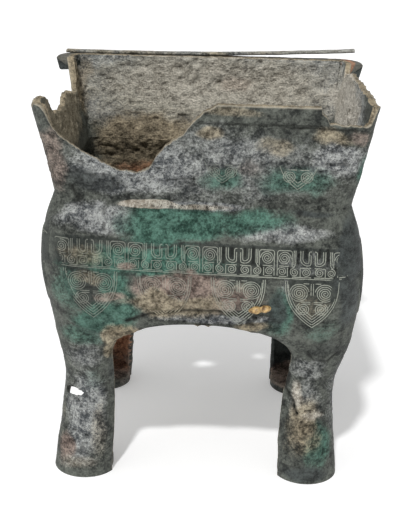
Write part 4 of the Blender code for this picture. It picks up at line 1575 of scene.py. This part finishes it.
def spiral(u: float, v: float, radius: float, turns: float, start: float, handed: int) -> list[tuple[float, float]]:
    """A spiral from its rim in to its eye.

    Args:
        u: Its middle across, in millimetres.
        v: Its middle up.
        radius: Its outer radius.
        turns: How many times it goes round.
        start: Where on its rim it begins, in degrees.
        handed: 1 runs anticlockwise, -1 clockwise.

    Returns:
        Points along it.
    """
    points = []
    steps = int(22 * turns)
    for i in range(steps + 1):
        share = i / steps
        angle = math.radians(start) + handed * share * turns * 2 * math.pi
        size = radius * (1 - share) + 0.45 * share
        points.append((u + size * math.cos(angle), v + size * math.sin(angle)))
    return points


class Ornament:
    """The fine raised lines of the band and the blades on one side, each line a low closed ridge.

    Attributes:
        ridge: The ridge's section as (beside the line, above the face), in millimetres, closed.
        base_line_short: How far from the corners the band's bottom line ends, in millimetres.
    """

    ridge: tuple[tuple[float, float], ...] = ((-0.40, -0.5), (-0.20, 0.34), (0.20, 0.34), (0.40, -0.5), (-0.40, -0.5))
    base_line_short: float = 4.5

    def __init__(self, side: Side, patina: Patina, worn: float, casting: Casting = CASTING) -> None:
        """Keeps what the lines are drawn from.

        Args:
            side: The side that they stand on.
            patina: What lays the crust over them.
            worn: How much of the ornament is worn away, from 0 to 1.
            casting: The body's sizes.
        """
        self.side = side
        self.patina = patina
        self.worn = worn
        self.casting = casting
        self.lines: list[tuple[list[tuple[float, float]], float]] = []

    def pitch(self) -> float:
        """Distance between the blades' middles, in millimetres."""
        return self.casting.pitch(self.side) / MM

    def add(
        self, points: Iterable[tuple[float, float]], across: float, top: float, flip: int = 1, rise: float = 1.0
    ) -> None:
        """Adds one line, given about its own origin, in millimetres."""
        self.lines.append(([(across + flip * u, top + v) for u, v in points], rise))

    def blade(self, across: float, top: float, scale: float = 1.0, rise: float = 1.0, lowest: bool = False) -> None:
        """Draws one hanging blade: a double outline, two pairs of spirals and nested chevrons.

        Args:
            across: Its middle.
            top: Its top edge.
            scale: Its size against the belly's blades.
            rise: How high its lines stand.
            lowest: Whether only its lowest part is left.
        """
        c = self.casting
        width = c.blade_width / MM / 2 * scale
        length = c.blade_length / MM * scale
        for inset, start in ((0.4, 0.0), (1.6, 0.0), (2.9, 0.40), (4.2, 0.60), (5.5, 0.72)):
            if lowest and inset < 2:
                continue
            half_line = []
            for i in range(25):
                share = start + (1 - start) * i / 24
                half = (width - inset * scale) * (1 - share**c.blade_power)
                half_line.append((half, -0.8 - (length - 0.8 - inset * 1.5) * share))
            whole = [(-u, v) for u, v in half_line] + list(reversed(half_line))[1:]
            self.add(whole, across, top, 1, rise)
        for flip in (-1, 1):
            pair = [spiral(5.4, -18.6, 4.3, 3.1, 60, -1), [(1.0, -13.9), (6.6, -13.9)]]
            if not lowest:
                pair += [
                    spiral(7.8, -8.2, 6.1, 4.4, 170, -1),
                    [(0.7, -2.0), (0.7, -9.4)],
                    [(1.0, -15.1), (5.6, -15.1)],
                    [(14.0, -2.6), (14.0, -8.0), (13.4, -12.4), (12.2, -16.0)],
                    [(1.9, -2.0), (5.2, -1.9)],
                ]
            for line in pair:
                self.add([(u * scale, v * scale) for u, v in line], across, top, flip, rise)

    def band_motif(self, across: float, bottom: float, flip: int) -> None:
        """Draws half a dragon: a squared hook, a scroll, an eye and the lines between them.

        Args:
            across: Where it starts.
            bottom: The band's bottom edge.
            flip: 1 faces right, -1 left.
        """
        for line in (
            spiral(5.0, 11.8, 4.0, 3.0, 0, 1),
            spiral(3.7, 4.2, 2.7, 2.1, 180, -1),
            spiral(11.0, 4.0, 2.7, 2.1, 90, 1),
            spiral(17.8, 4.1, 2.8, 2.1, 90, -1),
            rounded([(14.5, 16.6), (14.5, 10.2), (16.6, 8.1), (20.6, 8.1), (20.6, 14.2)], 1.4),
            rounded([(15.8, 16.6), (15.8, 10.9), (17.2, 9.4), (19.4, 9.4), (19.4, 16.4), (20.9, 16.4)], 1.2),
            rounded([(0.9, 1.6), (0.9, 16.4), (9.6, 16.4), (9.6, 7.2)], 1.2),
            rounded([(11.6, 16.6), (11.6, 8.2), (9.8, 6.4)], 1.2),
            [(10.6, 16.6), (10.6, 8.6)],
            [(2.0, 7.4), (7.6, 7.4)],
            [(7.0, 1.4), (7.0, 6.4)],
            [(14.4, 1.4), (14.4, 6.6), (20.8, 6.8)],
            [(2.0, 1.2), (6.4, 1.2)],
            [(9.6, 1.0), (20.9, 1.0)],
        ):
            self.add(line, across, bottom, flip)

    def draw(self) -> None:
        """Lays out the whole side."""
        c = self.casting
        pitch = self.pitch()
        bottom = c.band_bottom / MM
        edge = 2 * pitch
        for i in range(4):
            self.blade(pitch * (i - 1.5), bottom - c.blade_drop / MM)
        for i in range(4):
            for flip in (-1, 1):
                start = flip * (i + i % 2) * pitch / 2
                self.band_motif(start, bottom, flip if i % 2 == 0 else -flip)
        short = self.base_line_short
        self.add([(short - edge, 0.1), (edge - short, 0.1)], 0.0, bottom)
        if self.side is Side.FRONT:
            self.blade(11.0, 220.5, 0.86, 0.6, True)
            self.blade(54.5, 220.0, 0.90, 0.6, True)

    def build(self, material: bpy.types.Material) -> bpy.types.Object:
        """Makes the side's ridges as one piece.

        Args:
            material: The patina.

        Returns:
            The piece.
        """
        self.draw()
        coords, shapes, masks = self.ridges()
        bm = bmesh.new()
        for rows, columns in shapes:
            bmesh.ops.create_grid(bm, x_segments=columns - 1, y_segments=rows - 1, size=1.0)
        name = f"ornament_{self.side.name.lower()}"
        mesh = bpy.data.meshes.new(name)
        bm.to_mesh(mesh)
        bm.clear()
        mesh.vertices.foreach_set("co", coords.astype(np.float32).ravel())
        for key, values in masks.items():
            attribute_layer(mesh, key, values)
        bm.from_mesh(mesh)
        bmesh.ops.remove_doubles(bm, verts=bm.verts, dist=2e-6)
        bmesh.ops.recalc_face_normals(bm, faces=bm.faces)
        bm.to_mesh(mesh)
        bm.free()
        return publish(name, mesh, material)

    def ridges(self) -> tuple[Points, list[tuple[int, int]], dict[str, Points]]:
        """Works out a low closed ridge along every line.

        Returns:
            The places of all points, the rows and columns of each ridge, and the masks.
        """
        c = self.casting
        section = self.ridge
        spots, lifts, rises, shapes = [], [], [], []
        for points, rise in self.lines:
            line = evenly(points, 0.8)
            along = unit(np.gradient(line, axis=0))
            beside = np.stack((-along[:, 1], along[:, 0]), axis=1)
            spots.append(np.stack([line + beside * offset for offset, _ in section]))
            lifts.append(np.stack([np.full(len(line), lift) for _, lift in section]))
            rises.append(np.full((len(section), len(line)), rise))
            shapes.append((len(section), len(line) + 2))
        flat = np.concatenate([s.reshape(-1, 2) for s in spots]) * MM
        lift = np.concatenate([s.ravel() for s in lifts])
        rise = np.concatenate([s.ravel() for s in rises])
        base = c.face_point(self.side, flat[:, 0], flat[:, 1], np.zeros(len(flat)))
        masks, crust = self.patina.lay(base, OUTER_DEPOSITS, 51)
        on_neck = flat[:, 1] > c.waist
        level = np.where(flat[:, 1] > c.band_bottom, c.band_relief, c.blade_relief)
        level = np.where(on_neck, 0.0, level * 0.75)
        scale = np.where(on_neck, 1.0, 0.75)
        worn = masks["earth"] + 0.45 * masks["lime"] + self.worn + 0.30 * rough(base, 0.009, 101)
        loss = smoothstep(0.45, 1.15, worn)
        height = scale * crust + level + (lift * rise - 0.70 * loss * (lift > 0)) * MM
        front = np.interp(flat[:, 0], (-0.07, 0.00, 0.04), (0.60, 0.80, 1.75))
        crisp = front if self.side is Side.FRONT else 0.5
        masks["stroke"] = np.clip((lift > 0) * (1 - 0.85 * loss) * (0.3 + 0.7 * rise) * crisp, 0, 1.4)
        masks["pit"] *= 0.5
        masks["edge"] = np.zeros(len(flat))
        placed = c.face_point(self.side, flat[:, 0], flat[:, 1], height)
        ended = {key: self.with_ends(values[:, None], shapes)[:, 0] for key, values in masks.items()}
        return self.with_ends(placed, shapes), shapes, ended

    def with_ends(self, values: Points, shapes: Sequence[tuple[int, int]]) -> Points:
        """Gives each ridge's rows a closing point at both ends.

        Args:
            values: One row of numbers per point.
            shapes: The rows and columns of each ridge, with its ends.

        Returns:
            The longer list of numbers.
        """
        parts = []
        start = 0
        for rows, columns in shapes:
            block = values[start : start + rows * (columns - 2)].reshape(rows, columns - 2, -1)
            start += rows * (columns - 2)
            parts.append(capped(block).reshape(-1, values.shape[-1]))
        return np.concatenate(parts)


def rounded(points: Sequence[tuple[float, float]], size: float) -> list[tuple[float, float]]:
    """Rounds the corners of a broken line.

    Args:
        points: The line.
        size: How far from each corner the rounding starts.

    Returns:
        The line with three points for each corner.
    """
    line = [Vector(p) for p in points]
    out = [line[0]]
    for before, here, after in zip(line, line[1:], line[2:]):
        start = here + (before - here).normalized() * min(size, (before - here).length / 2)
        end = here + (after - here).normalized() * min(size, (after - here).length / 2)
        out += [start, (start + end) / 4 + here / 2, end]
    out.append(line[-1])
    return [(p.x, p.y) for p in out]


def evenly(points: Sequence[tuple[float, float]], step: float) -> Points:
    """Walks along a line in steps of about the same length.

    Args:
        points: The line.
        step: The length of a step.

    Returns:
        Points at even distances.
    """
    line = np.array(points, dtype=float)
    lengths = np.concatenate(([0.0], np.cumsum(np.linalg.norm(np.diff(line, axis=0), axis=1))))
    count = max(3, int(round(lengths[-1] / step)) + 1)
    at = np.linspace(0, lengths[-1], count)
    return np.stack((np.interp(at, lengths, line[:, 0]), np.interp(at, lengths, line[:, 1])), axis=1)


# -------------------- the lump


@dataclass
class StuckLump:
    """The golden brown lump on the front of the belly: two joined drops with a flat back."""

    casting: Casting = CASTING
    x: float = 0.0344
    height: float = 0.1235
    length: float = 0.0136
    width: float = 0.0052
    depth: float = 0.0036
    tilt: float = -6.0
    waist: float = 0.42
    gap: float = 0.0003

    def place(self, dx: float, dz: float) -> Vector:
        """Finds a point of the belly's face beside the lump's middle.

        Args:
            dx: How far to the right.
            dz: How far up.

        Returns:
            The place.
        """
        c = self.casting
        spot = c.face_point(Side.FRONT, np.array(self.x + dx), np.array(self.height + dz),
                            np.array(c.blade_relief + self.gap))
        return Vector(spot.tolist())

    def build(self, material: bpy.types.Material) -> bpy.types.Object:
        """Makes the lump.

        Args:
            material: The golden crust.

        Returns:
            The piece.
        """
        foot = self.place(0, 0)
        up = (self.place(0, self.width / 2) - self.place(0, -self.width / 2)).normalized()
        out = up.cross(self.place(self.length / 2, 0) - foot).normalized()
        if out.y > 0:
            out = -out
        along = out.cross(up).normalized()
        turn = math.radians(self.tilt)
        bm = bmesh.new()
        bmesh.ops.create_icosphere(bm, subdivisions=5, radius=1.0)
        for vert in bm.verts:
            u, v, w = vert.co
            pinch = 1 - self.waist * math.exp(-(((u + 0.12) / 0.22) ** 2)) - 0.12 * u
            pinch *= 1 + 0.05 * math.sin(9 * u + 4 * v) * (1 - w * w)
            s = u * self.length / 2
            t = v * self.width / 2 * pinch
            depth = max(w, 0.0) * self.depth * pinch
            slid = along * (s * math.cos(turn) - t * math.sin(turn)) + up * (s * math.sin(turn) + t * math.cos(turn))
            vert.co = foot + slid + out * (depth + self.gap)
        bmesh.ops.recalc_face_normals(bm, faces=bm.faces)
        mesh = bpy.data.meshes.new("golden_lump")
        bm.to_mesh(mesh)
        bm.free()
        return publish("golden_lump", mesh, material, "stuck_lump")


# -------------------- finishes


def add_node(
    tree: bpy.types.NodeTree,
    kind: str,
    settings: Optional[dict[str, Any]] = None,
    inputs: Optional[dict[Any, Any]] = None,
) -> bpy.types.Node:
    """Adds a node with its settings and links.

    Args:
        tree: The material's node tree.
        kind: The node's type.
        settings: Its own options by name.
        inputs: By input name or number: a value, or the socket that feeds it.

    Returns:
        The node.
    """
    node = tree.nodes.new(kind)
    for key, value in (settings or {}).items():
        setattr(node, key, value)
    for key, value in (inputs or {}).items():
        if isinstance(value, bpy.types.NodeSocket):
            tree.links.new(value, node.inputs[key])
        else:
            node.inputs[key].default_value = value
    return node


def reckon(tree: bpy.types.NodeTree, operation: str, *inputs: Any) -> bpy.types.NodeSocket:
    """Adds a node that works a number out of values and sockets."""
    return add_node(tree, "ShaderNodeMath", {"operation": operation}, dict(enumerate(inputs))).outputs[0]


def eased(tree: bpy.types.NodeTree, value: bpy.types.NodeSocket, low: float, high: float) -> bpy.types.NodeSocket:
    """Adds a node that eases a value from 0 at low to 1 at high."""
    inputs = {"Value": value, "From Min": low, "From Max": high}
    return add_node(tree, "ShaderNodeMapRange", {"interpolation_type": "SMOOTHSTEP"}, inputs).outputs["Result"]


def noise(tree: bpy.types.NodeTree, where: Any, size_mm: float, detail: float) -> bpy.types.NodeSocket:
    """Adds noise with grains of about one size."""
    inputs = {"Vector": where, "Scale": 1 / (size_mm * MM), "Detail": detail, "Roughness": 0.62}
    return add_node(tree, "ShaderNodeTexNoise", {}, inputs).outputs["Fac"]


def scaled(tree: bpy.types.NodeTree, socket: bpy.types.NodeSocket, by: float) -> bpy.types.NodeSocket:
    """Multiplies a socket's value."""
    return reckon(tree, "MULTIPLY", socket, by)


def attribute(tree: bpy.types.NodeTree, name: str) -> bpy.types.NodeSocket:
    """Reads one of the piece's own masks."""
    return add_node(tree, "ShaderNodeAttribute", {"attribute_name": name}).outputs["Fac"]


def mix(tree: bpy.types.NodeTree, share: Any, first: Any, second: Any) -> bpy.types.NodeSocket:
    """Mixes two colours."""
    settings = {"data_type": "RGBA", "clamp_factor": True}
    return add_node(tree, "ShaderNodeMix", settings, {0: share, 6: first, 7: second}).outputs[2]


def blend(tree: bpy.types.NodeTree, share: Any, first: Any, second: Any) -> bpy.types.NodeSocket:
    """Mixes two numbers."""
    settings = {"data_type": "FLOAT", "clamp_factor": True}
    return add_node(tree, "ShaderNodeMix", settings, {0: share, 2: first, 3: second}).outputs[0]


@dataclass(frozen=True)
class Bloom:
    """How one mineral looks: two shades, how grainy its edge is, and how rough it is."""

    mineral: Mineral
    deep: str
    pale: str
    bite: float
    roughness: float


@dataclass(frozen=True)
class PatinatedBronze:
    """Cast tin bronze under a mineral patina: dull grey-green, chalky where crusted, darker where smooth."""

    name: str = "patinated_cast_bronze"
    deep: str = "#1b1f1c"
    pale: str = "#747870"
    ground: str = "#232a28"
    pit: str = "#141511"
    stroke: str = "#b9bdb0"
    # The pale colour of edges and tops: partly the crust of the breaks, partly a painted highlight along them.
    edge: str = "#cbc4b2"
    coarse_mm: float = 17.0
    middle_mm: float = 4.2
    fine_mm: float = 1.3
    grit_mm: float = 0.7
    drawn: tuple[float, float, float] = (0.60, 0.60, 1.25)
    tones: tuple[float, float] = (1.28, 2.48)
    specks: tuple[float, float] = (0.54, 0.64)
    ground_share: float = 0.60
    bloom_share: float = 0.88
    stroke_share: float = 0.55
    edge_share: float = 0.75
    pit_share: float = 0.85
    bump_mm: float = 2.0
    metallic: float = 0.12
    specular: float = 0.35
    blooms: tuple[Bloom, ...] = (
        Bloom(Mineral.LIME, "#50555a", "#dcdedb", 0.45, 0.90),
        Bloom(Mineral.MALACHITE, "#0d3429", "#639281", 0.35, 0.75),
        Bloom(Mineral.DARK, "#161a19", "#4c5352", 0.35, 0.50),
        Bloom(Mineral.RUST, "#493b35", "#c4afa2", 0.35, 0.88),
        Bloom(Mineral.EARTH, "#5c5341", "#d6c9ae", 0.35, 0.92),
        Bloom(Mineral.CAKE, "#3d3325", "#c4b497", 0.35, 0.93),
        Bloom(Mineral.IRON, "#7a4729", "#e8a57c", 0.40, 0.85),
        Bloom(Mineral.CREAM, "#9c9282", "#efe9dc", 0.40, 0.90),
    )

    def material(self) -> bpy.types.Material:
        """Builds the material.

        Returns:
            The patina.
        """
        made = bpy.data.materials.new(self.name)
        made.use_nodes = True
        tree = made.node_tree
        shader = tree.nodes["Principled BSDF"]
        place = add_node(tree, "ShaderNodeTexCoord").outputs["Object"]
        stretched = add_node(tree, "ShaderNodeMapping", {}, {"Vector": place, "Scale": self.drawn})
        drawn_out = stretched.outputs["Vector"]
        coarse = noise(tree, drawn_out, self.coarse_mm, 4.0)
        middle = noise(tree, drawn_out, self.middle_mm, 4.0)
        fine = noise(tree, place, self.fine_mm, 3.0)
        grit = noise(tree, place, self.grit_mm, 2.0)
        mixed = reckon(tree, "ADD", scaled(tree, coarse, 0.5), scaled(tree, middle, 0.6))
        spread = reckon(tree, "ADD", mixed, scaled(tree, fine, 1.6))
        # The rise mask makes the tone paler on lumps and darker in hollows: painted relief shading.
        raised = reckon(tree, "MULTIPLY_ADD", attribute(tree, "rise"), 1.0, spread)
        tone = eased(tree, raised, *self.tones)
        colour = mix(tree, tone, linear(self.deep), linear(self.pale))
        inputs = {"Value": tone, "To Min": 0.52, "To Max": 0.85}
        roughness = add_node(tree, "ShaderNodeMapRange", {}, inputs).outputs[0]
        speckle = reckon(tree, "ADD", scaled(tree, middle, 0.8), scaled(tree, fine, 1.0))
        ground = scaled(tree, attribute(tree, "ground"), self.ground_share)
        colour = mix(tree, ground, colour, linear(self.ground))
        for bloom in self.blooms:
            mask = attribute(tree, bloom.mineral.value)
            rising = reckon(tree, "MULTIPLY_ADD", speckle, bloom.bite, mask)
            low = 0.25 + 0.9 * bloom.bite
            covered = eased(tree, rising, low, low + 0.60)
            shade = mix(tree, tone, linear(bloom.deep), linear(bloom.pale))
            colour = mix(tree, scaled(tree, covered, self.bloom_share), colour, shade)
            roughness = blend(tree, covered, roughness, bloom.roughness)
        stroke = scaled(tree, attribute(tree, "stroke"), self.stroke_share)
        colour = mix(tree, stroke, colour, linear(self.stroke))
        # Edges painted pale: crust and painted highlight together.
        edge = scaled(tree, attribute(tree, "edge"), self.edge_share)
        colour = mix(tree, edge, colour, linear(self.edge))
        specks = eased(tree, grit, *self.specks)
        dotted = reckon(tree, "MULTIPLY", specks, attribute(tree, "dots"))
        pit = reckon(tree, "MAXIMUM", attribute(tree, "pit"), dotted)
        colour = mix(tree, scaled(tree, pit, self.pit_share), colour, linear(self.pit))
        relief = reckon(tree, "ADD", fine, scaled(tree, grit, 0.6))
        relief = reckon(tree, "MULTIPLY_ADD", middle, 1.2, relief)
        rougher = reckon(tree, "MULTIPLY_ADD", attribute(tree, "heavy"), 0.8, 0.5)
        height = reckon(tree, "MULTIPLY", relief, rougher)
        inputs = {"Strength": 1.0, "Distance": self.bump_mm * MM, "Height": height}
        bump = add_node(tree, "ShaderNodeBump", {}, inputs)
        tree.links.new(colour, shader.inputs["Base Color"])
        tree.links.new(roughness, shader.inputs["Roughness"])
        tree.links.new(bump.outputs["Normal"], shader.inputs["Normal"])
        shader.inputs["Metallic"].default_value = self.metallic
        shader.inputs["Specular IOR Level"].default_value = self.specular
        return made


@dataclass(frozen=True)
class GoldenCrust:
    """A drop of hardened brown mineral: warm, translucent looking, with a dull gloss."""

    name: str = "golden_brown_crust"
    deep: str = "#4a2d10"
    pale: str = "#cfae76"
    grain_mm: float = 2.6

    def material(self) -> bpy.types.Material:
        """Builds the material.

        Returns:
            The crust.
        """
        made = bpy.data.materials.new(self.name)
        made.use_nodes = True
        tree = made.node_tree
        shader = tree.nodes["Principled BSDF"]
        place = add_node(tree, "ShaderNodeTexCoord").outputs["Object"]
        inputs = {"Vector": place, "Scale": 1 / (self.grain_mm * MM), "Detail": 3.0}
        grains = add_node(tree, "ShaderNodeTexNoise", {}, inputs).outputs["Fac"]
        share = add_node(tree, "ShaderNodeMapRange", {}, {"Value": grains, "From Min": 0.35, "From Max": 0.65})
        shades = {0: share.outputs[0], 6: linear(self.deep), 7: linear(self.pale)}
        colour = add_node(tree, "ShaderNodeMix", {"data_type": "RGBA"}, shades)
        bump = add_node(tree, "ShaderNodeBump", {}, {"Strength": 0.4, "Distance": 0.2 * MM, "Height": grains})
        tree.links.new(colour.outputs[2], shader.inputs["Base Color"])
        tree.links.new(bump.outputs["Normal"], shader.inputs["Normal"])
        shader.inputs["Roughness"].default_value = 0.42
        return made


@dataclass(frozen=True)
class PaleGround:
    """Matt white paper on the studio table, with a painted glow that pales the shadows on it and lights the vessel a
    little from below.
    """

    name: str = "white_paper_with_painted_glow"
    shade: str = "#efefef"
    painted_glow: float = 0.29

    def material(self) -> bpy.types.Material:
        """Builds the material.

        Returns:
            The paper.
        """
        made = bpy.data.materials.new(self.name)
        made.use_nodes = True
        shader = made.node_tree.nodes["Principled BSDF"]
        shader.inputs["Base Color"].default_value = linear(self.shade)
        shader.inputs["Roughness"].default_value = 0.95
        shader.inputs["Specular IOR Level"].default_value = 0.1
        shader.inputs["Emission Color"].default_value = linear("#ffffff")
        # The paper glows though it is no lamp: painted light that lifts its shadows.
        shader.inputs["Emission Strength"].default_value = self.painted_glow
        return made


# -------------------- the studio


@dataclass
class Studio:
    """The camera at the photograph's angle, the pale ground and the soft light."""

    eye: tuple[float, float, float] = (0.00989, -0.66835, 0.35823)
    lens: float = 73.40
    pitch: float = 0.339871734
    yaw: float = -0.0130801692
    roll: float = 0.0249115629
    ground_size: float = 12.0
    fill: float = 0.40
    key: float = 2.05
    side: float = 0.45

    def build(self) -> None:
        """Sets the camera, the ground and the lights."""
        scene = bpy.context.scene
        level = math.cos(self.pitch)
        forward = Vector((math.sin(self.yaw) * level, math.cos(self.yaw) * level, -math.sin(self.pitch)))
        right = forward.cross(Vector((0, 0, 1))).normalized()
        up = right.cross(forward)
        turned_right = right * math.cos(self.roll) + up * math.sin(self.roll)
        turned_up = up * math.cos(self.roll) - right * math.sin(self.roll)
        data = bpy.data.cameras.new("camera")
        data.lens = self.lens
        data.sensor_width = 36.0
        camera = bpy.data.objects.new("camera", data)
        matrix = Matrix((turned_right, turned_up, -forward)).transposed().to_4x4()
        matrix.translation = Vector(self.eye)
        camera.matrix_world = matrix
        scene.collection.objects.link(camera)
        scene.camera = camera
        bm = bmesh.new()
        bmesh.ops.create_grid(bm, x_segments=1, y_segments=1, size=self.ground_size / 2)
        mesh = bpy.data.meshes.new("ground")
        bm.to_mesh(mesh)
        bm.free()
        mesh.materials.append(PaleGround().material())
        ground = bpy.data.objects.new("ground", mesh)
        scene.collection.objects.link(ground)
        ground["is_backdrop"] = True
        world = bpy.data.worlds.new("studio")
        world.use_nodes = True
        world.node_tree.nodes["Background"].inputs["Color"].default_value = (1.0, 1.0, 1.0, 1.0)
        world.node_tree.nodes["Background"].inputs["Strength"].default_value = self.fill
        scene.world = world
        self.lamp("key", self.key, 3.5, (-0.17, -0.70, 1.0))
        self.lamp("side", self.side, 60.0, (-1.0, -0.35, 0.7))
        scene.view_settings.view_transform = "Standard"
        scene.view_settings.look = "None"
        LOG.info("studio: camera %.1f mm", self.lens)

    def lamp(self, name: str, strength: float, softness: float, towards: tuple[float, float, float]) -> None:
        """Adds a far light.

        Args:
            name: Its name.
            strength: How strong it is.
            softness: How wide it looks, in degrees, which softens its shadows.
            towards: The direction that it lies in.
        """
        data = bpy.data.lights.new(name, "SUN")
        data.energy = strength
        data.angle = math.radians(softness)
        lamp = bpy.data.objects.new(name, data)
        lamp.rotation_euler = Vector(towards).to_track_quat("Z", "Y").to_euler()
        bpy.context.scene.collection.objects.link(lamp)


def write_sizes() -> None:
    """Writes the CAD box and the dressed model's box to the log."""
    boxes = {"cad": [list(corner) for corner in CAD_BOX], "dressed": [list(corner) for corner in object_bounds()]}
    for key, (low, high) in boxes.items():
        LOG.info("%s box: %s to %s mm", key, [round(1000 * v, 1) for v in low], [round(1000 * v, 1) for v in high])


def main() -> None:
    """Builds the vessel's pieces in order, then the lump, and sets the studio."""
    logging.basicConfig(level=logging.INFO, format="%(message)s")
    patina = Patina(CASTING)
    bronze = PatinatedBronze().material()
    for side in Side:
        seen = side is Side.FRONT
        WallPanel(side, Level.NECK, 270 if seen else 130, 84 if seen else 62, patina).build(bronze)
        WallPanel(side, Level.BELLY, 270 if seen else 130, 104 if seen else 78, patina).build(bronze)
    for right in (False, True):
        for back in (False, True):
            Leg(right, back, 100 if back else 132, 46 if back else 62, 48 if back else 74, patina).build(bronze)
            Sole(right, back, patina).build(bronze)
    BowlFloor(patina).build(bronze)
    BackLip(patina).build(bronze)
    SplitStrip(patina).build(bronze)
    for side, worn in ((Side.FRONT, 0.0), (Side.RIGHT, 0.15), (Side.BACK, 0.25), (Side.LEFT, 0.2)):
        Ornament(side, patina, worn).build(bronze)
    StuckLump().build(GoldenCrust().material())
    Studio().build()
    write_sizes()


if __name__ == "__main__":
    main()
